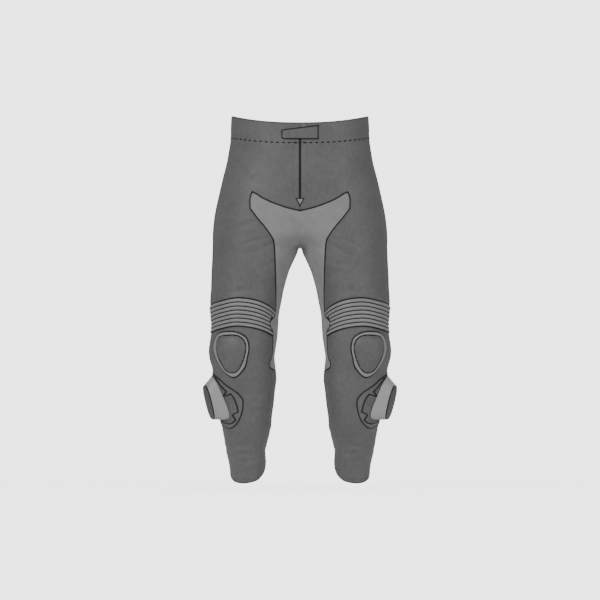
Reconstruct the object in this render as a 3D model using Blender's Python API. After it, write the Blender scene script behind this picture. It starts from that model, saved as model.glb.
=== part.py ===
"""Leather motorcycle trousers, filled out with no wearer, seen from the front at -Y.

The origin is at the middle of the waist, where the wearer holds the garment up.
Each leg's outer face is one surface, worked out from the table of level sections.
The panels are regions of that surface, cut along named seams, with a wall behind them.
Tables and sizes are in millimetres and degrees, and meshes are made in metres.
"""
import math

import bpy
from mathutils import Vector
from mathutils.geometry import delaunay_2d_cdt

MM = 0.001

# Walls and gaps
LEATHER = 1.8
STRETCH = 1.8
PATCH = 1.6
HALF_GAP = 0.15
LAYER_GAP = 0.3
RIB_COUNT = 7
RIB_HEIGHT = 3.2
CUP_HEIGHT = 5.0
CUP_EDGE = 1.6
RING_HEIGHT = 2.8
ZIP_SINK = 0.4

# Mesh spacing
GRID = 31.0
SEAM_STEP = 20.0
PATCH_STEP = 12.0
BAND_GRID = 34.0
CROTCH_GRID = 27.0
CUP_GRID = 17.0
EDGE_CLEARANCE = 0.45
RIB_COLUMNS = 12
ROWS_PER_RIB = 4
RIB_FADE_COLUMNS = 1.5
SHARPEST_CORNER = 0.35
MM_PER_DEGREE = 1.75

# Front and back meet over this radius at the crotch
CROTCH_RADIUS = 9.0

# Level sections of the left leg's half, from the waist to the hem.
# inner and outer are its reach across, front and back its reach in depth,
# side is the depth of its side seam, and squareness is its curve's exponent.
SECTION_COLUMNS = ("height", "inner", "outer", "front", "back", "side", "squareness")
SECTIONS = (
    (50, -181.0, 181.0, -112, 116, 0, 2.35),
    (10, -183.5, 183.5, -113, 119, 1, 2.35),
    (-26, -184.5, 184.5, -115, 122, 2, 2.35),
    (-58, -183.5, 189.5, -117, 127, 3, 2.35),
    (-90, -179.0, 195.0, -119, 133, 4, 2.38),
    (-122, -167.0, 203.0, -121, 140, 5, 2.40),
    (-154, -151.0, 211.0, -122, 146, 6, 2.42),
    (-186, -129.0, 218.5, -123, 151, 7, 2.42),
    (-217, -101.0, 225.0, -124, 153, 8, 2.42),
    (-249, -69.0, 229.2, -124, 152, 8, 2.40),
    (-281, -32.0, 231.8, -124, 148, 8, 2.36),
    (-297, -6.0, 232.0, -123, 145, 7.5, 2.33),
    (-305, 4.5, 232.1, -122.5, 143.5, 7.2, 2.315),
    (-313, 9.0, 232.2, -122, 142, 7, 2.30),
    (-329, 12.0, 232.7, -121, 138, 6, 2.28),
    (-345, 18.0, 233.2, -120, 134, 5, 2.26),
    (-376, 31.0, 234.4, -117, 126, 3, 2.24),
    (-420, 43.0, 236.2, -114, 113, -1, 2.22),
    (-456, 51.5, 238.6, -113, 101, -6, 2.20),
    (-488, 59.0, 239.2, -111, 90, -11, 2.20),
    (-520, 61.5, 237.0, -110, 80, -15, 2.20),
    (-550, 63.5, 240.0, -111, 71, -19, 2.22),
    (-580, 67.5, 242.0, -111, 65, -20, 2.24),
    (-604, 69.5, 239.5, -107, 62, -18, 2.24),
    (-631, 67.0, 230.8, -100, 63, -14, 2.22),
    (-662, 65.5, 227.0, -92, 67, -9, 2.20),
    (-694, 69.0, 222.0, -83, 73, -3, 2.18),
    (-726, 70.0, 217.0, -74, 77, 3, 2.16),
    (-758, 75.0, 212.0, -65, 79, 9, 2.14),
    (-790, 78.0, 206.5, -55, 79, 14, 2.12),
    (-822, 85.5, 201.0, -44, 77, 18, 2.10),
    (-853, 92.0, 196.0, -35, 73, 20, 2.10),
    (-878, 90.5, 190.0, -29, 69, 21, 2.10),
    (-901, 92.5, 186.0, -26, 67, 21, 2.10),
    (-940, 94.0, 184.0, -25, 66, 21, 2.10),
)

# Heights of the waist's two edges and of the hem
WAIST_TOP_FRONT = 18.0
WAIST_TOP_SIDE = 34.5
WAIST_TOP_BACK = 20.0
BAND_LOW_FRONT = -34.5
BAND_LOW_SIDE = -21.0
BAND_LOW_BACK = -26.0
# The hem is given as angle round the leg, and height
HEM = (
    (-180, -914), (-150, -928), (-115, -934), (-85, -933), (-55, -926),
    (-25, -911), (0, -899), (60, -903), (120, -908), (180, -914),
)

# The fly's zip shows between the two front edges. The tack and tab are across, and up
FLY_HALF_WIDTH = 2.5
FLY_FOOT = -213.7
FLY_TACK = ((-12.0, -181.0), (12.0, -181.0), (0.0, -203.5))
WAIST_TAB = ((-49.0, 0.0), (49.0, 12.5), (49.0, -23.5), (-44.0, -23.5), (-49.0, -20.0))
TAB_LIFT = 0.8

# Front seams: how far across from the middle, and how high
CROTCH_TOP = ((0, -214.5), (36.5, -205.5), (72, -193), (98, -181), (115, -170), (126.5, -164.5))
CROTCH_END = ((126.5, -164.5), (132, -183), (132, -208.5))
CROTCH_LOW = (
    (132, -208.5), (113, -233.5), (91, -260), (74, -285), (69, -298), (66.5, -328), (64.5, -387),
)
STRIP_OUTER = ((64.5, -387), (63.5, -440), (64.5, -485))
RIB_TOP = ((64.5, -485), (85, -465), (119, -450.5), (164, -445), (207, -453), (238.9, -469))
RIB_LOW = ((71.5, -546), (101, -530.5), (133, -522.5), (170, -519.5), (208, -526.5), (239, -540.5))
# The ribs' inner end: the share of the way down, and how far across
RIB_NOTCH = (
    (0.0, 64.5), (0.16, 68.0), (0.33, 77.5), (0.46, 80.9), (0.64, 79.6), (0.77, 74.2), (0.88, 69.6),
    (1.0, 71.5),
)
STRIP_FRONT = ((71.5, -546), (72, -571), (73.5, -597), (79.5, -617), (78, -630))

# Seams on the hidden sides: the angle round the leg, and how high
CROTCH_BACK_TOP = -255.0
CROTCH_BACK = ((64, -290), (52, -322), (39, -387))
STRIP_INNER = ((39, -387), (35, -420), (30, -490), (27, -572))
STRIP_BACK = ((27, -572), (26, -600), (22, -624))
STRIP_TIP = -636.0
KNEE_BACK = ((27, -572), (75, -578), (125, -576), (180, -570))

# The side seam swings back behind the knee slider
SIDE_SWING = 32.0
SIDE_SWING_HEIGHT = -715.0
SIDE_SWING_REACH = 75.0

# The calf's zip, in its own slot up from the hem
ZIP_ANGLE = 92.0
ZIP_HALF_WIDTH = 3.5
ZIP_TOP = -700.0

# Outlines on the shin, across and up
RING_OUTER = (
    (183, -534), (154, -541), (137, -562), (137, -592), (148, -632),
    (174, -655), (203, -637), (222, -604), (228.5, -570), (216, -541),
)
RING_INNER = (
    (183, -543.5), (159, -548), (145.5, -565), (144.5, -584), (150, -608), (163, -635),
    (180, -643), (198, -633), (213, -606), (220, -575), (213, -550),
)
BASE_FRONT = (
    (215, -657), (193, -676), (167, -693.5), (152, -710), (149, -724), (152, -747),
    (161, -771), (174, -786.5), (187, -792), (200, -787),
)
BASE_BEHIND = ((-186, -774), (-195, -752), (-203, -722), (-203, -690), (-196, -660), (-184, -641))
HOOK_FRONT = (
    (220, -657), (206, -677), (191, -692.5), (199.5, -703.5), (181.5, -697), (172, -710), (165, -728),
    (161, -747), (176, -754.5), (167, -768.5), (177, -777), (187, -780), (198, -777),
)
HOOK_BEHIND = ((-184, -766), (-192, -746), (-199, -718), (-199, -690), (-192, -664), (-179, -648))

# The knee slider: its foot on the leg, and its flat outer face
PUCK_ANGLE = -164.0
PUCK_HEIGHT = -715.0
PUCK_LEAN = 0.3
PUCK_FOOT_HEIGHT = -709.0
PUCK_FOOT_ANGLE = -161.0
PUCK_FOOT_HALF_ANGLE = 26.0
PUCK_FOOT_HALF_HEIGHT = 57.0
PUCK_FOOT_SQUARENESS = 4.0
PUCK_POINTS = 28
PUCK_DEPTH = 27.0
PUCK_TURN = 13.0
PUCK_DROOP = 14.0
PUCK_HALF_WIDTH = 37.0
PUCK_HALF_LENGTH = 48.0
PUCK_SQUARENESS = 2.5
PUCK_BEVEL = 2.0
FACE_THICKNESS = 2.6

# Colours in linear light, with roughness and metallic value
FINISHES = {
    "leather": ((0.127, 0.127, 0.127), 0.50, 0.0),
    "stretch": ((0.216, 0.216, 0.216), 0.85, 0.0),
    "rib_leather": ((0.262, 0.262, 0.262), 0.50, 0.0),
    "piping": ((0.275, 0.275, 0.275), 0.50, 0.0),
    "hook_tape": ((0.150, 0.150, 0.150), 0.90, 0.0),
    "slider_plastic": ((0.319, 0.319, 0.319), 0.40, 0.0),
    "slider_face": ((0.156, 0.156, 0.156), 0.35, 0.0),
    "zip": ((0.020, 0.020, 0.020), 0.60, 0.0),
}


def signed_power(value, exponent):
    return math.copysign(abs(value) ** exponent, value)


def smooth_value(keys, values, key):
    """A smooth curve through the table's values, for keys in falling or rising order."""
    rising = keys[-1] > keys[0]
    last = len(keys) - 1
    low = 0
    while low < last - 1 and (key > keys[low + 1]) == rising and key != keys[low + 1]:
        low += 1
    span = keys[low + 1] - keys[low]
    share = min(max((key - keys[low]) / span, 0.0), 1.0)

    def slope(index):
        before = max(index - 1, 0)
        after = min(index + 1, last)
        return (values[after] - values[before]) / (keys[after] - keys[before])

    square = share * share
    cube = square * share
    return (
        values[low] * (2 * cube - 3 * square + 1)
        + slope(low) * span * (cube - 2 * square + share)
        + values[low + 1] * (3 * square - 2 * cube)
        + slope(low + 1) * span * (cube - square)
    )


SECTION_VALUES = {name: [row[i] for row in SECTIONS] for i, name in enumerate(SECTION_COLUMNS)}
section_cache = {}


def section(height):
    """Centre, half width, front and back depths, side depth and exponent at a height."""
    if height not in section_cache:
        keys = SECTION_VALUES["height"]
        row = {name: smooth_value(keys, SECTION_VALUES[name], height) for name in SECTION_COLUMNS[1:]}
        centre = (row["outer"] + row["inner"]) / 2
        half_width = (row["outer"] - row["inner"]) / 2
        front_depth = row["side"] - row["front"]
        back_depth = row["back"] - row["side"]
        section_cache[height] = (
            centre, half_width, front_depth, back_depth, row["side"], row["squareness"],
        )
    return section_cache[height]


def form_value(x, y, z):
    """Less than nothing inside the leg's form and more than nothing outside it."""
    centre, half_width, front_depth, back_depth, side, squareness = section(z)
    across = (math.hypot(x, CROTCH_RADIUS) - centre) / half_width
    depth = (y - side) / (front_depth if y < side else back_depth)
    return abs(across) ** squareness + abs(depth) ** squareness - 1


def normal_at(point):
    """The direction straight out of the form at a point of its surface."""
    step = 0.5
    x, y, z = point
    slope = Vector((
        form_value(x + step, y, z) - form_value(x - step, y, z),
        form_value(x, y + step, z) - form_value(x, y - step, z),
        form_value(x, y, z + step) - form_value(x, y, z - step),
    ))
    if x == 0:
        slope.x = 0
    return slope.normalized()


def on_leg(angle, height):
    """The surface at an angle: 0 on the inside, -90 in front, 90 behind, 180 at the side."""
    centre, half_width, front_depth, back_depth, side, squareness = section(height)
    power = 2 / squareness
    turn = math.radians(angle)
    reach = centre - half_width * signed_power(math.cos(turn), power)
    x = math.sqrt(max(reach * reach - CROTCH_RADIUS * CROTCH_RADIUS, 0)) if reach > CROTCH_RADIUS else 0.0
    if x < 0.02:
        x = 0.0
    depth = front_depth if math.sin(turn) < 0 else back_depth
    return Vector((x, side + depth * signed_power(math.sin(turn), power), height))


def across_to_angle(across, height):
    """The front angle at a distance across from the middle."""
    centre, half_width, _, _, _, squareness = section(height)
    share = (centre - math.hypot(across, CROTCH_RADIUS)) / half_width
    share = min(max(share, -1.0), 1.0)
    return -math.degrees(math.acos(signed_power(share, squareness / 2)))


def on_front(across, height):
    """The front surface, to either side of the middle."""
    point = on_leg(across_to_angle(abs(across), height), height)
    point.x = across
    return point


def front_points(points):
    return [(across_to_angle(across, height), height) for across, height in points]


def side_angle(height):
    swing = (height - SIDE_SWING_HEIGHT) / SIDE_SWING_REACH
    return -180 - SIDE_SWING * math.exp(-swing * swing)


def behind(points):
    """The same points, with angles counted the other way round to reach the back."""
    return [(angle + 360, height) for angle, height in points]


def distance(first, second):
    return math.hypot((second[0] - first[0]) * MM_PER_DEGREE, second[1] - first[1])


def curve(points, step, closed=False):
    """Evenly spaced points on a smooth curve through the given points."""
    count = len(points)
    spans = count if closed else count - 1
    result = []
    for index in range(spans):
        if closed:
            around = [points[(index + shift) % count] for shift in (-1, 0, 1, 2)]
        else:
            around = [points[min(max(index + shift, 0), count - 1)] for shift in (-1, 0, 1, 2)]
        before, start, end, after = around
        steps = max(1, round(distance(start, end) / step))
        for number in range(steps):
            share = number / steps
            square = share * share
            cube = square * share
            result.append(tuple(
                0.5 * (
                    2 * start[axis]
                    + (end[axis] - before[axis]) * share
                    + (2 * before[axis] - 5 * start[axis] + 4 * end[axis] - after[axis]) * square
                    + (3 * start[axis] - before[axis] - 3 * end[axis] + after[axis]) * cube
                )
                for axis in (0, 1)
            ))
    if not closed:
        result.append(points[-1])
    return result


def front_curve(points):
    """A seam drawn smoothly across and up, and then laid on the front."""
    return front_points(curve(points, SEAM_STEP))


def corners(points, step):
    """Evenly spaced points along straight runs between the given points."""
    result = []
    for start, end in zip(points, points[1:] + points[:1]):
        steps = max(1, round(distance(start, end) / step))
        for number in range(steps):
            share = number / steps
            result.append(tuple(start[axis] + (end[axis] - start[axis]) * share for axis in (0, 1)))
    return result


def edge_height(angle, front, side, back):
    """The height of a waist edge, which runs level across the front and curves up to the side."""
    middle = front if math.sin(math.radians(angle)) < 0 else back
    share = abs(math.cos(math.radians(angle)))
    return middle + (side - middle) * share * share


def middle_angle(height):
    """The angle at which the section meets the garment's middle."""
    centre, half_width, _, _, _, squareness = section(height)
    share = min((centre - CROTCH_RADIUS) / half_width, 1.0)
    return math.degrees(math.acos(signed_power(share, squareness / 2)))


def band_edge(front, side, back, steps=11):
    """One waist edge from the middle of the front round to the middle of the back."""
    start = middle_angle(front)
    end = middle_angle(back)
    ahead = [start + (180 - start) * number / steps for number in range(steps)]
    back_part = [180 + (180 - end) * number / steps for number in range(steps + 1)]
    angles = [-angle for angle in ahead + back_part]
    return [(angle, edge_height(angle, front, side, back)) for angle in angles]


def middle_line(top, bottom, steps, sign):
    """Points where the surface meets the garment's middle, down to a lower height."""
    heights = [top + (bottom - top) * number / steps for number in range(steps + 1)]
    return [(sign * middle_angle(height), height) for height in heights]


def find_crotch():
    """The height at which the two legs part."""
    low = -345.0
    high = -281.0
    for _ in range(50):
        height = (low + high) / 2
        centre, half_width = section(height)[:2]
        if centre - half_width > CROTCH_RADIUS:
            low = height
        else:
            high = height
    return high


def make_seams():
    """Every seam as a list of points, each one shared by the pieces on its two sides."""
    seams = {}
    seams["band_top"] = band_edge(WAIST_TOP_FRONT, WAIST_TOP_SIDE, WAIST_TOP_BACK)
    seams["band_low"] = band_edge(BAND_LOW_FRONT, BAND_LOW_SIDE, BAND_LOW_BACK)
    middle = len(seams["band_low"]) // 2

    fly_steps = 9
    fly_heights = [
        BAND_LOW_FRONT + (FLY_FOOT - BAND_LOW_FRONT) * number / fly_steps for number in range(fly_steps + 1)
    ]
    seams["fly"] = [(across_to_angle(FLY_HALF_WIDTH, height), height) for height in fly_heights]
    seams["band_low_front"] = [seams["fly"][0]] + seams["band_low"][1:middle + 1]
    seams["band_low_back"] = behind(seams["band_low"][middle:])

    crotch_top = front_curve(CROTCH_TOP)
    seams["crotch_top"] = [crotch_top[0], seams["fly"][-1]] + crotch_top[1:]
    seams["crotch_top_front"] = seams["crotch_top"][1:]
    seams["crotch_end"] = front_curve(CROTCH_END)
    seams["crotch_low"] = front_curve(CROTCH_LOW)
    seams["strip_outer"] = front_curve(STRIP_OUTER)

    rib_top = front_points(RIB_TOP[:-1]) + [(-180, RIB_TOP[-1][1])]
    rib_low = front_points(RIB_LOW[:-1]) + [(-180, RIB_LOW[-1][1])]

    def rib_height(angle, share):
        top = smooth_value([p[0] for p in rib_top], [p[1] for p in rib_top], angle)
        low = smooth_value([p[0] for p in rib_low], [p[1] for p in rib_low], angle)
        return top + (low - top) * share

    columns = RIB_COLUMNS
    rows = RIB_COUNT * ROWS_PER_RIB
    grid = []
    for row in range(rows + 1):
        share = row / rows
        across = notch_across(share)
        middle_height = RIB_TOP[0][1] + (RIB_LOW[0][1] - RIB_TOP[0][1]) * share
        inner = across_to_angle(across, middle_height)
        angles = [inner + (-180 - inner) * column / columns for column in range(columns + 1)]
        line = [(angle, rib_height(angle, share)) for angle in angles]
        line[0] = (inner, middle_height)
        grid.append(line)
    seams["rib_grid"] = grid
    seams["rib_top"] = grid[0]
    seams["rib_low"] = grid[-1]
    seams["rib_inner"] = [line[0] for line in grid]
    seams["rib_side"] = [line[-1] for line in grid]

    crotch = find_crotch()
    apex = (0.0, crotch)
    front_line = []
    back_line = []
    steps = 8
    for number in range(steps):
        share = 1 - number / steps
        front_height = crotch + (CROTCH_TOP[0][1] - crotch) * share * share
        back_height = crotch + (CROTCH_BACK_TOP - crotch) * share * share
        front_line.append((-middle_angle(front_height), front_height))
        back_line.append((middle_angle(back_height), back_height))
    seams["crotch_middle"] = front_line + [apex] + back_line[::-1]

    tip = (0.0, STRIP_TIP)
    seams["strip_front"] = curve(front_points(STRIP_FRONT) + [(-14, STRIP_TIP - 1), tip], SEAM_STEP)
    seams["crotch_back"] = curve([back_line[0]] + list(CROTCH_BACK), SEAM_STEP)
    seams["strip_inner"] = curve(list(STRIP_INNER), SEAM_STEP)
    seams["strip_top"] = curve([seams["crotch_low"][-1], seams["crotch_back"][-1]], SEAM_STEP)
    seams["strip_back"] = curve(list(STRIP_BACK) + [(12, STRIP_TIP - 1), tip], SEAM_STEP)
    seams["knee_back"] = curve(list(KNEE_BACK), SEAM_STEP)

    hem = curve(list(HEM), SEAM_STEP)
    hem_front = [point for point in hem if point[0] <= 0]
    hem_back = [point for point in hem if point[0] >= 0]
    zip_left = ZIP_ANGLE - ZIP_HALF_WIDTH
    zip_right = ZIP_ANGLE + ZIP_HALF_WIDTH
    hem_angles = [point[0] for point in HEM]
    hem_heights = [point[1] for point in HEM]
    zip_low = [(angle, smooth_value(hem_angles, hem_heights, angle)) for angle in (zip_left, zip_right)]
    seams["hem_front"] = hem_front
    seams["hem_inner"] = [p for p in hem_back if p[0] < zip_left - 4] + [zip_low[0]]
    seams["hem_outer"] = [zip_low[1]] + [p for p in hem_back if p[0] > zip_right + 4]
    zip_steps = 11
    for name, low in (("zip_inner", zip_low[0]), ("zip_outer", zip_low[1])):
        seams[name] = [
            (low[0], low[1] + (ZIP_TOP - low[1]) * number / zip_steps) for number in range(zip_steps + 1)
        ]
    seams["inseam"] = curve([tip, (0, -720), (0, -810), (0, HEM[6][1])], SEAM_STEP)

    def side_run(top, bottom, steps):
        heights = [top + (bottom - top) * number / steps for number in range(steps + 1)]
        return [(side_angle(height), height) for height in heights]

    rib_top_side = grid[0][-1]
    rib_low_side = grid[-1][-1]
    knee_side = KNEE_BACK[-1][1]
    seams["side_upper"] = side_run(BAND_LOW_SIDE, rib_top_side[1], 22)
    seams["side_knee"] = side_run(rib_low_side[1], knee_side, 2)
    seams["side_lower"] = side_run(knee_side, HEM[0][1], 20)
    # The ends of each run land on the corners that other seams share
    seams["side_upper"][0] = seams["band_low"][middle]
    seams["side_upper"][-1] = rib_top_side
    seams["side_knee"][0] = rib_low_side
    seams["side_lower"][0] = seams["side_knee"][-1] = (-180.0, knee_side)
    seams["side_lower"][-1] = (-180.0, HEM[0][1])
    return seams


def notch_across(share):
    keys = [row[0] for row in RIB_NOTCH]
    values = [row[1] for row in RIB_NOTCH]
    index = 0
    while index < len(keys) - 2 and share > keys[index + 1]:
        index += 1
    part = (share - keys[index]) / (keys[index + 1] - keys[index])
    return values[index] + (values[index + 1] - values[index]) * part


def join(*runs):
    """One closed outline from seams that follow each other, with shared corners once."""
    outline = []
    for run in runs:
        for point in run:
            if not outline or distance(outline[-1], point) > 0.05:
                outline.append(point)
    if distance(outline[0], outline[-1]) < 0.05:
        outline.pop()
    return outline


def inside(point, outline):
    crossed = False
    for start, end in zip(outline, outline[1:] + outline[:1]):
        if (start[1] > point[1]) != (end[1] > point[1]):
            cross = start[0] + (point[1] - start[1]) * (end[0] - start[0]) / (end[1] - start[1])
            if point[0] < cross:
                crossed = not crossed
    return crossed


def clearance(point, outline):
    """The distance from a point to the nearest run of an outline."""
    nearest = math.inf
    px = point[0] * MM_PER_DEGREE
    py = point[1]
    for start, end in zip(outline, outline[1:] + outline[:1]):
        ax = start[0] * MM_PER_DEGREE
        ay = start[1]
        dx = end[0] * MM_PER_DEGREE - ax
        dy = end[1] - ay
        length = dx * dx + dy * dy
        share = min(max(((px - ax) * dx + (py - ay) * dy) / length, 0.0), 1.0) if length else 0.0
        nearest = min(nearest, math.hypot(px - ax - dx * share, py - ay - dy * share))
    return nearest


def grid_points(outline, pitch, lines):
    """Points in staggered rows inside an outline, clear of it and of the lines."""
    low_angle = min(point[0] for point in outline)
    high_angle = max(point[0] for point in outline)
    low_height = min(point[1] for point in outline)
    high_height = max(point[1] for point in outline)
    found = []
    row = 0
    height = low_height + pitch / 2
    while height < high_height:
        angle = low_angle + (0.5 + 0.5 * (row % 2)) * pitch / MM_PER_DEGREE
        while angle < high_angle:
            point = (angle, height)
            if inside(point, outline):
                apart = min(clearance(point, line) for line in [outline] + lines)
                if apart > pitch * EDGE_CLEARANCE:
                    found.append(point)
            angle += pitch / MM_PER_DEGREE
        height += pitch * 0.87
        row += 1
    return found


def triangulate(outline, pitch=GRID, lines=(), extra=()):
    """Points and triangles that fill an outline and keep the edges of the lines."""
    lines = [list(line) for line in lines]
    loops = [list(outline)] + lines
    points = []
    edges = []
    for loop in loops:
        first = len(points)
        points += loop
        edges += [(first + i, first + (i + 1) % len(loop)) for i in range(len(loop))]
    points += list(extra)
    points += grid_points(list(outline), pitch, lines)
    flat = [Vector((angle * MM_PER_DEGREE, height)) for angle, height in points]
    placed, _, faces = delaunay_2d_cdt(flat, edges, [], 1, 0.001)[:3]
    result = [(point.x / MM_PER_DEGREE, point.y) for point in placed]
    return result, [tuple(face) for face in faces]


def shared_edges(faces):
    """Edges that only one face uses, in that face's direction."""
    count = {}
    for face in faces:
        for start, end in zip(face, face[1:] + face[:1]):
            key = (min(start, end), max(start, end))
            count.setdefault(key, []).append((start, end))
    return [uses[0] for uses in count.values() if len(uses) == 1]


def oriented(faces, places, normals):
    """The faces turned so that each one looks out of the form."""
    result = []
    for face in faces:
        a, b, c = face[:3]
        side = (places[b] - places[a]).cross(places[c] - places[a])
        outward = normals[a] + normals[b] + normals[c]
        result.append(tuple(face) if side.dot(outward) > 0 else tuple(reversed(face)))
    return result


def shrink(places, normals, edges, amount):
    """The outline's points moved in by half a seam's gap.

    edges are the outline's own, without those where the piece goes on across the middle.
    """
    before = {end: start for start, end in edges}
    after = {start: end for start, end in edges}
    moved = dict(enumerate(places))
    for index in set(before) | set(after):
        here = places[index]
        sides = []
        if index in before:
            sides.append(normals[index].cross(here - places[before[index]]).normalized())
        if index in after:
            sides.append(normals[index].cross(places[after[index]] - here).normalized())
        if len(sides) == 1:
            shift = sides[0]
        else:
            shift = (sides[0] + sides[1]) / max(1 + sides[0].dot(sides[1]), SHARPEST_CORNER)
        shift = shift * amount
        if here.x == 0 and len(sides) == 1:
            shift.x = 0
        moved[index] = here + shift
    return [moved[index] for index in range(len(places))]


def make_wall(points, faces, low, high, relief=None, place=on_leg, joined=False):
    """Corners and faces of a solid between two heights over the form's surface.

    A joined piece is half of one that goes on across the garment's middle.
    """
    used = sorted({index for face in faces for index in face})
    number = {old: new for new, old in enumerate(used)}
    faces = [tuple(number[index] for index in face) for face in faces]
    points = [points[index] for index in used]
    places = [place(*point) for point in points]
    normals = [normal_at(point) for point in places]
    faces = oriented(faces, places, normals)
    edges = shared_edges(faces)
    if joined:
        edges = [edge for edge in edges if any(places[index].x for index in edge)]
    settled = shrink(places, normals, edges, HALF_GAP)
    count = len(points)
    raised = [relief(*point) if relief else 0.0 for point in points]
    outer = [settled[i] + normals[i] * (high + raised[i]) for i in range(count)]
    inner = [settled[i] + normals[i] * low for i in range(count)]
    shell = list(faces)
    shell += [tuple(count + index for index in reversed(face)) for face in faces]
    shell += [(end, start, count + start, count + end) for start, end in edges]
    return outer + inner, shell


def make_material(name):
    colour, roughness, metallic = FINISHES[name]
    material = bpy.data.materials.new(name)
    material.use_nodes = True
    shader = material.node_tree.nodes["Principled BSDF"]
    shader.inputs["Base Color"].default_value = (*colour, 1.0)
    shader.inputs["Roughness"].default_value = roughness
    shader.inputs["Metallic"].default_value = metallic
    return material


def make_object(name, corners_mm, faces, finish):
    mesh = bpy.data.meshes.new(name)
    mesh.from_pydata([tuple(corner * MM) for corner in corners_mm], [], faces)
    mesh.update()
    mesh.shade_smooth()
    mesh.set_sharp_from_angle(angle=math.radians(45))
    mesh.materials.append(materials[finish])
    piece = bpy.data.objects.new(name, mesh)
    bpy.context.scene.collection.objects.link(piece)
    return piece


def mirrored(corners_mm, faces):
    flipped = [Vector((-corner.x, corner.y, corner.z)) for corner in corners_mm]
    return flipped, [tuple(reversed(face)) for face in faces]


def make_pair(name, corners_mm, faces, finish):
    """The left piece as worked out and the right one as its mirror image."""
    make_object(name + "_left", corners_mm, faces, finish)
    make_object(name + "_right", *mirrored(corners_mm, faces), finish)


def make_whole(name, corners_mm, faces, finish):
    """One piece across the middle, its two halves sharing the points where they meet."""
    other, other_faces = mirrored(corners_mm, faces)
    number = {}
    whole = list(corners_mm)
    for index, corner in enumerate(other):
        if abs(corner.x) < 1e-6:
            number[index] = index
        else:
            number[index] = len(whole)
            whole.append(corner)
    whole_faces = list(faces) + [tuple(number[index] for index in face) for face in other_faces]
    make_object(name, whole, whole_faces, finish)


def make_waistband(seams):
    top = seams["band_top"]
    low = seams["band_low"]
    outline = join(low, top[::-1])
    points, faces = triangulate(outline, pitch=BAND_GRID)
    make_pair("waistband", *make_wall(points, faces, -LEATHER, 0), "leather")


def make_front(seams):
    outline = join(
        seams["fly"][::-1], seams["band_low_front"], seams["side_upper"], seams["rib_top"][::-1],
        seams["strip_outer"][::-1], seams["crotch_low"][::-1], seams["crotch_end"][::-1],
        seams["crotch_top_front"][::-1],
    )
    points, faces = triangulate(outline)
    make_pair("front", *make_wall(points, faces, -LEATHER, 0), "leather")


def make_back(seams):
    middle = middle_line(BAND_LOW_BACK, CROTCH_BACK_TOP, 12, 1)
    side = behind(seams["side_upper"] + seams["rib_side"][::ROWS_PER_RIB] + seams["side_knee"])
    outline = join(
        seams["band_low_back"], middle, seams["crotch_back"], seams["strip_inner"], seams["knee_back"],
        side[::-1],
    )
    points, faces = triangulate(outline)
    make_pair("back", *make_wall(points, faces, -LEATHER, 0), "leather")


def make_crotch(seams):
    """The stretch panel across the crotch, and its strips down the inner legs."""
    outline = join(
        seams["crotch_top"], seams["crotch_end"], seams["crotch_low"], seams["strip_top"],
        seams["crotch_back"][::-1], seams["crotch_middle"][::-1],
    )
    points, faces = triangulate(outline, pitch=CROTCH_GRID)
    corners_mm, shell = make_wall(points, faces, -STRETCH, 0, joined=True)
    make_whole("crotch_panel", corners_mm, shell, "stretch")

    outline = join(
        seams["strip_top"][::-1], seams["strip_outer"], seams["rib_inner"], seams["strip_front"],
        seams["strip_back"][::-1], seams["strip_inner"][::-1],
    )
    points, faces = triangulate(outline, pitch=CROTCH_GRID)
    make_pair("inner_strip", *make_wall(points, faces, -STRETCH, 0), "stretch")


def make_ribs(seams):
    """The accordion panel over the knee, its ribs raised over a plain inside."""
    grid = seams["rib_grid"]
    rows = len(grid)
    columns = len(grid[0])
    points = [point for line in grid for point in line]
    faces = []
    for row in range(rows - 1):
        for column in range(columns - 1):
            a = row * columns + column
            faces.append((a, a + 1, a + columns + 1))
            faces.append((a, a + columns + 1, a + columns))
    share = {}
    for row in range(rows):
        for column in range(columns):
            fade = min(1.0, min(column, columns - 1 - column) / RIB_FADE_COLUMNS)
            wave = math.sin(math.pi * RIB_COUNT * row / (rows - 1))
            share[points[row * columns + column]] = fade * wave * wave
    solid = make_wall(points, faces, -STRETCH, 0, relief=lambda *point: RIB_HEIGHT * share[point])
    make_pair("knee_stretch", *solid, "rib_leather")


def puck_outline():
    outline = []
    power = 2 / PUCK_FOOT_SQUARENESS
    for number in range(PUCK_POINTS):
        turn = 2 * math.pi * number / PUCK_POINTS
        rise = PUCK_FOOT_HALF_HEIGHT * signed_power(math.sin(turn), power)
        swing = PUCK_FOOT_HALF_ANGLE * signed_power(math.cos(turn), power)
        outline.append((PUCK_FOOT_ANGLE + swing - PUCK_LEAN * rise, PUCK_FOOT_HEIGHT + rise))
    return outline


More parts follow.
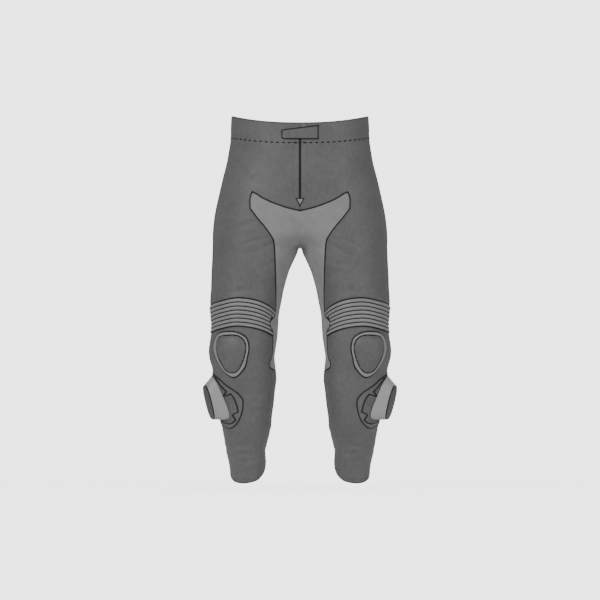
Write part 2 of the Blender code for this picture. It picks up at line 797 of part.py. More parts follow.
def make_shin(seams):
    """The lower leg's front, with the pieces that lie on it made from its own points."""
    outline = join(
        seams["rib_low"][::-1], seams["strip_front"], seams["inseam"], seams["hem_front"][::-1],
        seams["side_lower"][::-1], seams["side_knee"][::-1],
    )
    ring_outer = curve(front_points(RING_OUTER), PATCH_STEP, closed=True)
    ring_inner = curve(front_points(RING_INNER), PATCH_STEP, closed=True)
    base = curve(front_points(BASE_FRONT) + list(BASE_BEHIND), PATCH_STEP, closed=True)
    hook = corners(front_points(HOOK_FRONT) + list(HOOK_BEHIND), PATCH_STEP)
    foot = puck_outline()
    lines = [ring_outer, ring_inner, base, hook, foot]
    points, faces = triangulate(outline, lines=lines, extra=grid_points(ring_inner, CUP_GRID, []))
    make_pair("shin", *make_wall(points, faces, -LEATHER, 0), "leather")

    def within(line):
        chosen = []
        for face in faces:
            middle = [sum(points[index][axis] for index in face) / 3 for axis in (0, 1)]
            if inside(middle, line):
                chosen.append(face)
        return chosen

    cup_faces = within(ring_inner)
    ring_faces = [face for face in within(ring_outer) if face not in cup_faces]
    reach = max(clearance(point, ring_inner) for point in points if inside(point, ring_inner))

    def dome(angle, height):
        share = min(clearance((angle, height), ring_inner) / reach, 1.0)
        return CUP_HEIGHT * math.sin(share * math.pi / 2)

    def layer(name, chosen, low, high, finish, relief=None):
        make_pair(name, *make_wall(points, chosen, low, high, relief=relief), finish)

    layer("knee_ring", ring_faces, LAYER_GAP, LAYER_GAP + RING_HEIGHT, "piping")
    layer("knee_cup", cup_faces, LAYER_GAP, LAYER_GAP + CUP_EDGE, "leather", dome)
    base_top = LAYER_GAP + PATCH
    layer("slider_base", within(base), LAYER_GAP, base_top, "leather")
    hook_top = base_top + LAYER_GAP + PATCH
    layer("slider_hook", within(hook), base_top + LAYER_GAP, hook_top, "hook_tape")
    make_slider(points, within(foot), hook_top + LAYER_GAP)


def make_slider(points, foot_faces, lift):
    """The puck: its foot follows the leg, and its outer face is flat."""
    used = sorted({index for face in foot_faces for index in face})
    number = {old: new for new, old in enumerate(used)}
    places = [on_leg(*points[index]) for index in used]
    normals = [normal_at(place) for place in places]
    faces = oriented([tuple(number[index] for index in face) for face in foot_faces], places, normals)
    follow = dict(shared_edges(faces))
    start = min(follow)
    rim = [start]
    while follow[rim[-1]] != start:
        rim.append(follow[rim[-1]])

    turn = math.radians(PUCK_TURN)
    droop = math.radians(PUCK_DROOP)
    outward = Vector((
        math.cos(droop) * math.cos(turn), -math.cos(droop) * math.sin(turn), -math.sin(droop),
    ))
    up = (Vector((0, 0, 1)) - outward * outward.z).normalized()
    ahead = up.cross(outward)
    if ahead.y > 0:
        ahead = -ahead
    middle = on_leg(PUCK_ANGLE, PUCK_HEIGHT) + outward * PUCK_DEPTH

    def ring(depth, shrinkage):
        """The rim's points carried out to a flat outline at a depth along the outward way."""
        result = []
        power = 2 / PUCK_SQUARENESS
        for index in rim:
            angle, height = points[used[index]]
            rise = height - PUCK_FOOT_HEIGHT
            swing = angle - PUCK_FOOT_ANGLE + PUCK_LEAN * rise
            around = math.atan2(rise / PUCK_FOOT_HALF_HEIGHT, swing / PUCK_FOOT_HALF_ANGLE)
            wide = (PUCK_HALF_WIDTH - shrinkage) * signed_power(math.cos(around), power)
            tall = (PUCK_HALF_LENGTH - shrinkage) * signed_power(math.sin(around), power)
            result.append(middle + outward * depth + ahead * wide + up * tall)
        return result

    count = len(rim)

    def strip(lower, upper):
        return [
            (lower + i, lower + (i + 1) % count, upper + (i + 1) % count, upper + i) for i in range(count)
        ]

    foot = [places[i] + normals[i] * lift for i in range(len(places))]
    shell = [tuple(reversed(face)) for face in faces]
    first = len(foot)
    solid = foot + ring(0, 0)
    for i in range(count):
        following = (i + 1) % count
        shell.append((rim[i], rim[following], first + following, first + i))
    shell.append(tuple(range(first, first + count)))
    make_pair("slider", solid, shell, "slider_plastic")

    depth = LAYER_GAP
    face_solid = ring(depth, 0) + ring(depth + FACE_THICKNESS - PUCK_BEVEL, 0)
    face_solid += ring(depth + FACE_THICKNESS, PUCK_BEVEL)
    face_shell = [tuple(range(count))[::-1]]
    face_shell += strip(0, count) + strip(count, 2 * count)
    face_shell.append(tuple(range(2 * count, 3 * count)))
    make_pair("slider_face", face_solid, face_shell, "slider_face")


def make_calf(seams):
    zip_edge = seams["zip_inner"] + seams["zip_outer"][::-1]
    outline = join(
        seams["knee_back"][::-1], seams["strip_back"], seams["inseam"], seams["hem_inner"],
        zip_edge, seams["hem_outer"], behind(seams["side_lower"])[::-1],
    )
    points, faces = triangulate(outline)
    make_pair("calf", *make_wall(points, faces, -LEATHER, 0), "leather")

    points, faces = triangulate(join(seams["zip_inner"], seams["zip_outer"][::-1]))
    make_pair("calf_zip", *make_wall(points, faces, -LEATHER, -ZIP_SINK), "zip")


def make_fly(seams):
    """The closed zip in the opening, the triangle that locks its foot, and the waist tab."""
    heights = [height for _, height in seams["fly"]]
    outline = [(-FLY_HALF_WIDTH, height) for height in heights]
    outline += [(FLY_HALF_WIDTH, height) for height in reversed(heights)]
    count = len(heights)
    faces = []
    for i in range(count - 1):
        right = 2 * count - 1 - i
        faces.append((i, i + 1, right - 1, right))
    make_object("fly_zip", *make_wall(outline, faces, -LEATHER, -ZIP_SINK, place=on_front), "zip")

    make_object(
        "fly_tack",
        *make_wall(list(FLY_TACK), [(0, 1, 2)], TAB_LIFT, TAB_LIFT + PATCH, place=on_front),
        "rib_leather",
    )
    left = min(point[0] for point in WAIST_TAB)
    right = max(point[0] for point in WAIST_TAB)
    steps = 8
    lines = []
    for number in range(steps + 1):
        across = left + (right - left) * number / steps
        share = number / steps
        top = WAIST_TAB[0][1] + (WAIST_TAB[1][1] - WAIST_TAB[0][1]) * share
        low = WAIST_TAB[2][1] if number else WAIST_TAB[4][1]
        lines.append(((across, top), (across, low)))
    points = [point for line in lines for point in line]
    faces = [(2 * i, 2 * i + 1, 2 * i + 3, 2 * i + 2) for i in range(steps)]
    make_object(
        "waist_tab", *make_wall(points, faces, TAB_LIFT, TAB_LIFT + PATCH, place=on_front), "leather",
    )


for old in list(bpy.data.objects):
    bpy.data.objects.remove(old, do_unlink=True)
materials = {name: make_material(name) for name in FINISHES}
all_seams = make_seams()
make_waistband(all_seams)
make_front(all_seams)
make_back(all_seams)
make_crotch(all_seams)
make_ribs(all_seams)
make_shin(all_seams)
make_calf(all_seams)
make_fly(all_seams)
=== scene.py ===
# %% [markdown]
# # Leather motorcycle trousers
#
# A pair of racing leathers, filled out with no wearer in them. The real ones are cut from cowhide,
# with panels of stretch cloth where the body bends, ribs over the knees, and hard sliders that
# touch the road in a corner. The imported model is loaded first, and every piece is made in its frame.

# %% Load the frame
import math

import bpy
import numpy as np
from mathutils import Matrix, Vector
from mathutils.geometry import delaunay_2d_cdt


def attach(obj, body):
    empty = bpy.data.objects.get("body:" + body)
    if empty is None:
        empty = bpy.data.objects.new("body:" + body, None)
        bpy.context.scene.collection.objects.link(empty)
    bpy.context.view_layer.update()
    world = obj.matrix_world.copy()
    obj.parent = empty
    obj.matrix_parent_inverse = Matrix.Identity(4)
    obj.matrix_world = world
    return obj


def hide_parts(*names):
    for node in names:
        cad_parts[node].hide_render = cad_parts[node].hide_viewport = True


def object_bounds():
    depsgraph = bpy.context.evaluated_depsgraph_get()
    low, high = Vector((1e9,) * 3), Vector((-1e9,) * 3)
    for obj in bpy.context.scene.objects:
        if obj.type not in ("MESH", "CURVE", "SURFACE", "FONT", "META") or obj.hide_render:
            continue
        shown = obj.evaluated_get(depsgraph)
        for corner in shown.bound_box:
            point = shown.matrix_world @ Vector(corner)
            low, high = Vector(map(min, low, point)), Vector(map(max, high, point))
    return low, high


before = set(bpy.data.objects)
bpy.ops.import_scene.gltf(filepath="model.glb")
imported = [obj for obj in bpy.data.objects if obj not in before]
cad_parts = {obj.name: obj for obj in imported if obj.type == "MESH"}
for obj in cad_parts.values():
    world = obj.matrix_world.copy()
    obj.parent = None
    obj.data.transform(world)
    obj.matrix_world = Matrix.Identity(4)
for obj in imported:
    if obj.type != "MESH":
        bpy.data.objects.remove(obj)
cad_box = [list(corner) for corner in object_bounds()]
BODY = "root"
MM = 0.001
print("nodes in the frame:", len(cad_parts))

# %% [markdown]
# ## Camera, light and floor
#
# The drawing looks straight at the front, with no perspective to speak of. A long lens far away
# gives nearly that. The light is broad and soft, from both sides of the camera, so that the leather
# stays an even grey and only the seams and folds fall into shade. The pale floor fades out at its
# rim, so no edge of it shows against the pale surroundings.

# %% Camera
PHOTO_PIXELS = 600
MM_PER_PIXEL = 2.65
WAIST_ROW = 130
LENS = 800.0
SENSOR = 36.0
FRONT_DEPTH = -0.03

view_width = PHOTO_PIXELS * MM_PER_PIXEL * MM
camera_distance = view_width * LENS / SENSOR
camera_height = (WAIST_ROW - PHOTO_PIXELS / 2) * MM_PER_PIXEL * MM

camera_data = bpy.data.cameras.new("camera")
camera_data.lens = LENS
camera_data.sensor_width = SENSOR
camera_data.clip_end = 100
camera = bpy.data.objects.new("camera", camera_data)
camera.location = (0, FRONT_DEPTH - camera_distance, camera_height)
camera.rotation_euler = (math.pi / 2, 0, 0)
bpy.context.scene.collection.objects.link(camera)
bpy.context.scene.camera = camera
print("camera is", round(camera_distance, 2), "m in front")

# %% [markdown]
# Colours are easiest to pick as hex values, the way a paint program shows them. Blender mixes
# light in linear values, so one function converts them all, and mid grey comes out right.

# %% One function turns sRGB hex colours to linear light


def linear(hex_colour):
    channels = [int(hex_colour[start:start + 2], 16) / 255 for start in (1, 3, 5)]
    return [c / 12.92 if c <= 0.04045 else ((c + 0.055) / 1.055) ** 2.4 for c in channels] + [1.0]


print("mid grey is", [round(channel, 3) for channel in linear("#666666")[:3]])

# %% [markdown]
# Three broad lamps do the work of softboxes: a key to the left, a fill to the right, and one
# behind to lift the back. Large lamps give soft edges to every shadow, as leather needs.

# %% Surroundings and lamps
AMBIENT = 0.40
LAMP_AIM = Vector((0, 0, -0.45))
BACKDROP_GLOW = 3.4

# name, place in metres, width of the lamp, power in watts
LAMPS = (
    ("key_lamp", (-2.6, -4.2, 2.4), 2.4, 128),
    ("fill_lamp", (3.0, -4.0, 1.0), 2.8, 54),
    ("back_lamp", (0.6, 3.6, 2.6), 2.4, 90),
)
for name, place, width, power in LAMPS:
    lamp_data = bpy.data.lights.new(name, "AREA")
    lamp_data.size = width
    lamp_data.energy = power
    lamp = bpy.data.objects.new(name, lamp_data)
    lamp.location = place
    lamp.rotation_euler = (LAMP_AIM - lamp.location).to_track_quat("-Z", "Y").to_euler()
    bpy.context.scene.collection.objects.link(lamp)
print("lamps:", len(LAMPS))

# %% [markdown]
# Materials and geometry trees are long lists of nodes and links. A small helper adds a node, sets
# it and joins it up in one call, and a few more stand for the nodes that most recipes use.

# %% Helpers that add nodes with their settings and links


def add(tree, kind, links=(), **settings):
    """links pairs each input's name or number with a socket to link or a value to set."""
    node = tree.nodes.new(kind)
    for name, value in settings.items():
        setattr(node, name, value)
    for socket, value in dict(links).items():
        if isinstance(value, bpy.types.NodeSocket):
            tree.links.new(value, node.inputs[socket])
        else:
            node.inputs[socket].default_value = value
    return node


def math_node(tree, operation, first, second=0.0, third=0.0):
    return add(tree, "ShaderNodeMath", {0: first, 1: second, 2: third}, operation=operation).outputs[0]


def ramp(tree, value, start, end, low=0.0, high=1.0):
    """The value's own range, from start to end, brought to the range from low to high."""
    return add(tree, "ShaderNodeMapRange", {
        "Value": value, "From Min": start, "From Max": end, "To Min": low, "To Max": high,
    }).outputs["Result"]


def mix(tree, factor, first, second):
    """The first colour where the factor is 0, and the second where it is 1."""
    return add(tree, "ShaderNodeMix", {"Factor": factor, 6: first, 7: second}, data_type="RGBA").outputs[2]


def noise(tree, scale, detail, distortion=0.0):
    place = add(tree, "ShaderNodeTexCoord").outputs["Object"]
    return add(tree, "ShaderNodeTexNoise", {
        "Vector": place, "Scale": scale, "Detail": detail, "Distortion": distortion,
    }).outputs["Fac"]


def raise_bumps(tree, shader, height, strength, distance):
    bump = add(tree, "ShaderNodeBump", {"Height": height, "Strength": strength, "Distance": distance})
    tree.links.new(bump.outputs["Normal"], shader.inputs["Normal"])


def seen_or_lit(tree, seen, lit):
    """One strength where the camera looks straight at it, and another for the light it gives."""
    path = add(tree, "ShaderNodeLightPath")
    return ramp(tree, path.outputs["Is Camera Ray"], 0.0, 1.0, lit, seen)


print("node helpers ready")

# %% [markdown]
# A pale studio wall would flood dark leather with light. Here the wall looks bright where the eye
# meets it, and gives off only a little light, so the grey of the hide stays rich.

# %% A backdrop that looks bright but lights the leather gently
world = bpy.data.worlds.new("pale_studio")
world.use_nodes = True
backdrop = world.node_tree.nodes["Background"]
backdrop.inputs["Color"].default_value = linear("#ffffff")
world.node_tree.links.new(seen_or_lit(world.node_tree, BACKDROP_GLOW, AMBIENT), backdrop.inputs["Strength"])
bpy.context.scene.world = world
print("backdrop glows at", BACKDROP_GLOW)

# %% [markdown]
# The floor is a plain disc that fades to nothing at its rim. It sits just under the hems.

# %% Floor
FLOOR_DROP = 0.012
FLOOR_RADIUS = 2.4
FLOOR_SIDES = 64
FADE_START = 0.3
FADE_END = 0.95 * FLOOR_RADIUS
FLOOR_GLOW = 2.5


def make_floor():
    mesh = bpy.data.meshes.new("floor")
    turns = [2 * math.pi * step / FLOOR_SIDES for step in range(FLOOR_SIDES)]
    rim = [(FLOOR_RADIUS * math.cos(turn), FLOOR_RADIUS * math.sin(turn), 0) for turn in turns]
    mesh.from_pydata(rim, [], [tuple(range(FLOOR_SIDES))])
    floor = bpy.data.objects.new("floor", mesh)
    floor.location.z = cad_box[0][2] - FLOOR_DROP
    bpy.context.scene.collection.objects.link(floor)

    material = bpy.data.materials.new("pale_floor")
    material.use_nodes = True
    tree = material.node_tree
    shader = tree.nodes["Principled BSDF"]
    shader.inputs["Base Color"].default_value = linear("#f7f7f7")
    shader.inputs["Roughness"].default_value = 0.9
    shader.inputs["Specular IOR Level"].default_value = 0.0
    shader.inputs["Emission Color"].default_value = linear("#ffffff")
    tree.links.new(seen_or_lit(tree, FLOOR_GLOW, 0.0), shader.inputs["Emission Strength"])
    place = add(tree, "ShaderNodeTexCoord")
    reach = add(tree, "ShaderNodeVectorMath", {0: place.outputs["Object"]}, operation="LENGTH")
    fade = add(tree, "ShaderNodeMapRange", {
        "Value": reach.outputs["Value"], "From Min": FADE_START, "From Max": FADE_END,
        "To Min": 1.0, "To Max": 0.0,
    }, interpolation_type="SMOOTHSTEP")
    tree.links.new(fade.outputs["Result"], shader.inputs["Alpha"])
    mesh.materials.append(material)


make_floor()
print("floor radius", FLOOR_RADIUS, "m")

# %% [markdown]
# ## The form
#
# Leathers are cut to a rider's shape, so the panels lie on one smooth form. Level sections through
# the left half give it: each is a rounded oval, and a table holds their sizes. A point on the form
# is an angle round the leg and a height. Everything that follows is drawn on this form, in
# millimetres and degrees, which keeps each fine panel on the solid that it stands for. From the
# knee down the form is up to 4 mm fuller or slimmer than the solids, because the fine surface is
# what meets the drawn outline.

# %% Sections of the left half, from the waist to the hem
SECTION_COLUMNS = ("height", "inner", "outer", "front", "back", "side", "squareness")
SECTIONS = (
    (50, -181.0, 181.0, -112, 116, 0, 2.35),
    (10, -183.5, 183.5, -113, 119, 1, 2.35),
    (-26, -184.5, 184.5, -115, 122, 2, 2.35),
    (-58, -183.5, 189.5, -117, 127, 3, 2.35),
    (-90, -179.0, 195.0, -119, 133, 4, 2.38),
    (-122, -167.0, 203.0, -121, 140, 5, 2.40),
    (-154, -151.0, 211.0, -122, 146, 6, 2.42),
    (-186, -129.0, 218.5, -123, 151, 7, 2.42),
    (-217, -101.0, 225.0, -124, 153, 8, 2.42),
    (-249, -69.0, 229.2, -124, 152, 8, 2.40),
    (-281, -32.0, 231.8, -124, 148, 8, 2.36),
    (-297, -6.0, 232.0, -123, 145, 7.5, 2.33),
    (-305, 4.5, 232.1, -122.5, 143.5, 7.2, 2.315),
    (-313, 9.0, 232.2, -122, 142, 7, 2.30),
    (-329, 12.0, 232.7, -121, 138, 6, 2.28),
    (-345, 18.0, 233.2, -120, 134, 5, 2.26),
    (-376, 31.0, 234.4, -117, 126, 3, 2.24),
    (-420, 43.0, 236.2, -114, 113, -1, 2.22),
    (-456, 49.5, 238.6, -113, 101, -6, 2.20),
    (-488, 56.0, 235.6, -111, 90, -11, 2.20),
    (-520, 58.5, 233.4, -110, 80, -15, 2.20),
    (-550, 60.5, 237.4, -111, 71, -19, 2.22),
    (-580, 64.5, 242.0, -111, 65, -20, 2.24),
    (-604, 67.5, 240.5, -107, 62, -18, 2.24),
    (-631, 65.0, 232.8, -100, 63, -14, 2.22),
    (-662, 63.5, 228.0, -92, 67, -9, 2.20),
    (-694, 67.0, 222.0, -83, 73, -3, 2.18),
    (-726, 70.0, 217.0, -74, 77, 3, 2.16),
    (-758, 75.0, 212.0, -65, 79, 9, 2.14),
    (-790, 78.0, 206.5, -55, 79, 14, 2.12),
    (-822, 85.5, 201.0, -44, 77, 18, 2.10),
    (-853, 92.0, 196.0, -35, 73, 20, 2.10),
    (-878, 90.5, 190.0, -29, 69, 21, 2.10),
    (-901, 92.5, 186.0, -26, 67, 21, 2.10),
    (-940, 94.0, 184.0, -25, 66, 21, 2.10),
)
CROTCH_RADIUS = 9.0
section_values = {name: [row[i] for row in SECTIONS] for i, name in enumerate(SECTION_COLUMNS)}
print("sections:", len(SECTIONS))

# %% [markdown]
# The table gives each measure at a few heights only. A cubic curve through its rows keeps the
# leg's outline smooth between them, as cloth would be, with no kink at a row.

# %% A smooth curve through a table's values


def smooth(keys, values, at):
    keys = np.asarray(keys, float)
    values = np.asarray(values, float)
    if keys[0] > keys[-1]:
        keys = keys[::-1]
        values = values[::-1]
    ends = np.concatenate([[0], np.arange(len(keys)), [len(keys) - 1]])
    slopes = (values[ends[2:]] - values[ends[:-2]]) / (keys[ends[2:]] - keys[ends[:-2]])
    low = np.clip(np.searchsorted(keys, at) - 1, 0, len(keys) - 2)
    span = keys[low + 1] - keys[low]
    share = np.clip((at - keys[low]) / span, 0, 1)
    square = share * share
    cube = square * share
    return (
        values[low] * (2 * cube - 3 * square + 1) + slopes[low] * span * (cube - 2 * square + share)
        + values[low + 1] * (3 * square - 2 * cube) + slopes[low + 1] * span * (cube - square)
    )


def from_table(rows, at):
    """A smooth value of the second column where the first one is at."""
    return smooth([row[0] for row in rows], [row[1] for row in rows], at)


def section(height):
    """Centre, half width, front depth, back depth, side depth and exponent."""
    at = np.asarray(height, float)
    inner, outer, front, back, side, power = (
        smooth(section_values["height"], section_values[name], at) for name in SECTION_COLUMNS[1:]
    )
    return (outer + inner) / 2, (outer - inner) / 2, side - front, back - side, side, power


print("half width at the hips:", round(float(section(-217)[1]), 1), "mm")

# %% [markdown]
# Leather has thickness and lies on the form, so each panel needs to know where the surface is and
# which way is out. The legs are eased together at the crotch by a small radius.

# %% Points of the form and the way out of it
# Two measures that differ by less than this are one place
TOUCHING = 0.02
# Half the step over which the form's slope is taken
SLOPE_STEP = 0.5
TINY = 1e-9


def signed_power(value, exponent):
    return np.copysign(np.abs(value) ** exponent, value)


def on_leg(angle, height):
    """0 degrees is on the inside of the leg, -90 in front, 90 behind and 180 at the side."""
    angle = np.asarray(angle, float)
    height = np.asarray(height, float)
    centre, half_width, front, back, side, power = section(height)
    turn = np.radians(angle)
    reach = np.maximum(centre - half_width * signed_power(np.cos(turn), 2 / power), CROTCH_RADIUS)
    across = np.sqrt(reach * reach - CROTCH_RADIUS * CROTCH_RADIUS)
    across = np.where(across < TOUCHING, 0.0, across)
    depth = np.where(np.sin(turn) < 0, front, back)
    return np.stack([across, side + depth * signed_power(np.sin(turn), 2 / power), height], axis=-1)


def form_value(points):
    x, y, z = points.T
    centre, half_width, front, back, side, power = section(z)
    across = (np.hypot(x, CROTCH_RADIUS) - centre) / half_width
    depth = (y - side) / np.where(y < side, front, back)
    return np.abs(across) ** power + np.abs(depth) ** power - 1


def way_out(points):
    """The direction straight out of the form at each point."""
    slopes = [form_value(points + step) - form_value(points - step) for step in np.eye(3) * SLOPE_STEP]
    slopes = np.stack(slopes, axis=-1)
    slopes[points[:, 0] == 0, 0] = 0
    return slopes / np.linalg.norm(slopes, axis=1, keepdims=True)


def across_to_angle(across, height):
    centre, half_width, _, _, _, power = section(height)
    share = np.clip((centre - np.hypot(across, CROTCH_RADIUS)) / half_width, -1, 1)
    return -np.degrees(np.arccos(np.clip(signed_power(share, power / 2), -1, 1)))


def on_front(across, height):
    """The front surface, to either side of the middle."""
    across = np.asarray(across, float)
    points = on_leg(across_to_angle(np.abs(across), height), height)
    points[..., 0] = across
    return points


def degree_length(height):
    """About how many millimetres a degree is round the leg."""
    _, half_width, front, back, _, _ = section(height)
    return np.radians(1) * np.sqrt((half_width ** 2 + ((front + back) / 2) ** 2) / 2)


print("knee, front middle:", on_leg(-90, -580).round(1))

# %% [markdown]
# ## Seams
#
# A pattern cutter draws the seams first, and the panels are what lies between them. Each seam here
# is a smooth line on the form. The front ones are given as across and up, because that is how the
# photo shows them, and the hidden ones as an angle and a height.

# %% Lines on the form


def front_line(points):
    return [(float(across_to_angle(across, height)), height) for across, height in points]


def curve(points, step=4.0, closed=False, in_degrees=True):
    """Evenly spaced points on a smooth curve through the given ones."""
    count = len(points)
    result = []
    for index in range(count if closed else count - 1):
        picks = [index - 1, index, index + 1, index + 2]
        picks = [p % count if closed else min(max(p, 0), count - 1) for p in picks]
        before, start, end, after = (np.array(points[p], float) for p in picks)
        scale = float(degree_length(start[1])) if in_degrees else 1.0
        steps = max(1, round(math.hypot((end[0] - start[0]) * scale, end[1] - start[1]) / step))
        share = (np.arange(steps) / steps)[:, None]
        result += list(0.5 * (
            2 * start + (end - before) * share
            + (2 * before - 5 * start + 4 * end - after) * share ** 2
            + (3 * start - before - 3 * end + after) * share ** 3
        ))
    if not closed:
        result.append(np.array(points[-1], float))
    return np.array(result)


def front_curve(points):
    """A seam drawn smoothly across and up, and then laid on the front."""
    return np.array(front_line(curve(points, in_degrees=False)))


def straight(points, step=4.0, closed=True):
    """Evenly spaced points along straight runs."""
    ends = points[1:] + points[:1] if closed else points[1:]
    runs = [curve([start, end], step)[:-1] for start, end in zip(points, ends)]
    return np.concatenate(runs if closed else runs + [np.array([points[-1]], float)])


def straight_front(points, step):
    """Evenly spaced points round a closed outline given as across and height."""
    result = []
    for start, end in zip(points, points[1:] + points[:1]):
        steps = max(1, round(math.dist(start, end) / step))
        share = (np.arange(steps) / steps)[:, None]
        result += list(np.array(start) * (1 - share) + np.array(end) * share)
    return np.array(result)


print("lines on the form ready")

# %% [markdown]
# The waist dips in front and behind and rises at the sides, as a band cut for the hips does. The
# fly opens down from under the tab, and the hem dips in front over the boot.

# %% Waist edges, middle line and hem
BAND_TOP = (19.3, 37.0, 21.3)
BAND_LOW = (-34.5, -21.0, -26.0)
FLY_HALF_WIDTH = 2.1
FLY_TOE = -194.0
FLY_FOOT = -214.3
FLY_TAPER = 6
FLY_POINTS = 40
NOTCH_TOP = -21.0
NOTCH_POINTS = 5
FINE_STEP = 3.0
HEM = (
    (-180, -916), (-150, -930), (-115, -936.5), (-85, -935.5), (-55, -928.5),
    (-25, -913), (0, -900), (60, -904), (120, -909), (180, -916),
)


def middle_angle(height):
    """The angle where the form meets the garment's middle."""
    centre, half_width, _, _, _, power = section(height)
    share = np.minimum((centre - CROTCH_RADIUS) / half_width, 1.0)
    return np.degrees(np.arccos(signed_power(share, power / 2)))


def band_edge(front, side, back, steps=60):
    """A waist edge from the front's middle, at about -93 degrees, round to the back's, at -267."""
    start = float(middle_angle(front))
    end = float(middle_angle(back))
    angles = -np.concatenate([np.linspace(start, 180, steps)[:-1], np.linspace(180, 360 - end, steps)])
    middle = np.where(np.sin(np.radians(angles)) < 0, front, back)
    heights = middle + (side - middle) * np.cos(np.radians(angles)) ** 2
    return np.stack([angles, heights], axis=1)


band_top = band_edge(*BAND_TOP)
band_low = band_edge(*BAND_LOW)
half = len(band_low) // 2
TURN = np.array([360.0, 0.0])
fly_heights = np.linspace(BAND_LOW[0], FLY_TOE, FLY_POINTS)
fly = np.stack([across_to_angle(FLY_HALF_WIDTH, fly_heights), fly_heights], axis=1)
below_fly = np.array(front_line([(FLY_HALF_WIDTH, FLY_TOE), (0.0, FLY_TOE - FLY_TAPER), (0.0, FLY_FOOT)]))
notch_heights = np.linspace(NOTCH_TOP, BAND_LOW[0], NOTCH_POINTS)
notch_side = np.stack([across_to_angle(FLY_HALF_WIDTH, notch_heights), notch_heights], axis=1)
notch_end = np.array([[-float(middle_angle(NOTCH_TOP)), NOTCH_TOP]])
band_low_front = np.concatenate([fly[:1], band_low[2:half + 1]])
band_low_back = band_low[half:] + TURN
hem = curve(list(HEM), FINE_STEP)
print("hem points:", len(hem))

# %% [markdown]
# The stretch panel spreads like a pair of wings across the crotch and runs down each inner leg.
# It is where a rider's hips open, so cloth takes the place of leather there.

# %% The crotch panel's and inner strip's edges
CROTCH_TOP = ((0, -214.5), (36.5, -205.5), (72, -193), (98, -181), (115, -170), (126.5, -164.5))
CROTCH_END = ((126.5, -164.5), (132, -183), (132, -208.5))
CROTCH_LOW = (
    (132, -208.5), (113, -233.5), (91, -260), (74, -285), (69, -298), (66.5, -328), (64.5, -387),
    (63.5, -440), (64.5, -485),
)
STRIP_FRONT = ((71.5, -546), (72, -571), (73.5, -597), (79.5, -617), (78, -630))
STRIP_TIP = (0.0, -636.0)
# The last angle and height of the strip's front and back edges before its tip
STRIP_TURNS = ((-14, -637), (12, -637))
CROTCH_BACK_TOP = -255.0
CROTCH_BACK = ((64, -290), (52, -322), (39, -387), (35, -420), (30, -490), (27, -572))
STRIP_BACK = ((27, -572), (26, -600), (22, -624))
# The legs part somewhere between these heights, looked for in steps of a hundredth of a millimetre
PARTING = (-300, -330, 3001)
FALL_POINTS = 40

crotch_top = front_curve(CROTCH_TOP)
crotch_end = front_curve(CROTCH_END)
crotch_low = front_curve(CROTCH_LOW)
strip_front = curve(front_line(STRIP_FRONT) + [STRIP_TURNS[0], STRIP_TIP], FINE_STEP)
back_start = (float(middle_angle(CROTCH_BACK_TOP)), CROTCH_BACK_TOP)
crotch_back = curve([back_start] + list(CROTCH_BACK))
strip_back = curve(list(STRIP_BACK) + [STRIP_TURNS[1], STRIP_TIP], FINE_STEP)


def find_crotch():
    """The height at which the two legs part."""
    heights = np.linspace(*PARTING)
    centre, half_width = section(heights)[:2]
    return float(heights[np.argmax(centre - half_width > CROTCH_RADIUS)])


crotch_height = find_crotch()
fall = np.linspace(1, 0, FALL_POINTS)[:-1] ** 2
front_heights = crotch_height + (CROTCH_TOP[0][1] - crotch_height) * fall
back_heights = crotch_height + (CROTCH_BACK_TOP - crotch_height) * fall
crotch_middle = np.concatenate([
    np.stack([-middle_angle(front_heights), front_heights], axis=1),
    [[0.0, crotch_height]],
    np.stack([middle_angle(back_heights), back_heights], axis=1)[::-1],
])
print("the legs part at", round(crotch_height, 1), "mm")

# %% [markdown]
# The ribs follow two arcs over the knee, and their inner ends are notched. The side seam swings
# back below the knee to leave a clear field for the slider.

# %% The ribbed panel's edges, and the seams behind and at the side
RIB_COUNT = 7
RIB_TOP = ((64.5, -485), (85, -465), (119, -450.5), (164, -445), (207, -453), (238.9, -469))
RIB_LOW = ((71.5, -546), (101, -530.5), (133, -522.5), (170, -519.5), (208, -526.5), (239, -540.5))
RIB_NOTCH = (
    (0.0, 64.5), (0.16, 68.0), (0.33, 77.5), (0.46, 80.9), (0.64, 79.6), (0.77, 74.2), (0.88, 69.6),
    (1.0, 71.5),
)
KNEE_BACK = ((27, -572), (75, -578), (125, -576), (180, -570))
SIDE_SWING = (32.0, -715.0, 75.0)
ZIP_ANGLE = 92.0
ZIP_HALF_WIDTH = 3.5
ZIP_TOP = -700.0
# Rows and columns of the finer grid that gives the ribbed panel's edges
RIB_EDGE_GRID = (57, 61)
INSEAM_POINTS = 60
# The hem's own points stop this many degrees short of the zip
HEM_CLEAR = 2

rib_top_points = front_line(RIB_TOP[:-1]) + [(-180.0, RIB_TOP[-1][1])]
rib_low_points = front_line(RIB_LOW[:-1]) + [(-180.0, RIB_LOW[-1][1])]


def rib_grid(rows, columns):
    """Rows of points from the ribs' top edge to their low one, each from the inner end to the side."""
    share = np.linspace(0, 1, rows)[:, None]
    notch = from_table(RIB_NOTCH, share)
    inner_height = RIB_TOP[0][1] + (RIB_LOW[0][1] - RIB_TOP[0][1]) * share
    inner = across_to_angle(notch, inner_height)
    angles = inner + (-180 - inner) * np.linspace(0, 1, columns)[None, :]
    top = from_table(rib_top_points, angles)
    low = from_table(rib_low_points, angles)
    heights = top + (low - top) * share
    heights[:, :1] = inner_height
    return np.stack([angles, heights], axis=-1)


def side_line(top, bottom, step=4.0):
    """The side seam, which swings back behind the knee slider."""
    heights = np.linspace(top, bottom, max(2, round(abs(bottom - top) / step)))
    swing = np.exp(-((heights - SIDE_SWING[1]) / SIDE_SWING[2]) ** 2)
    line = np.stack([-180 - SIDE_SWING[0] * swing, heights], axis=1)
    line[[0, -1], 0] = -180.0
    return line


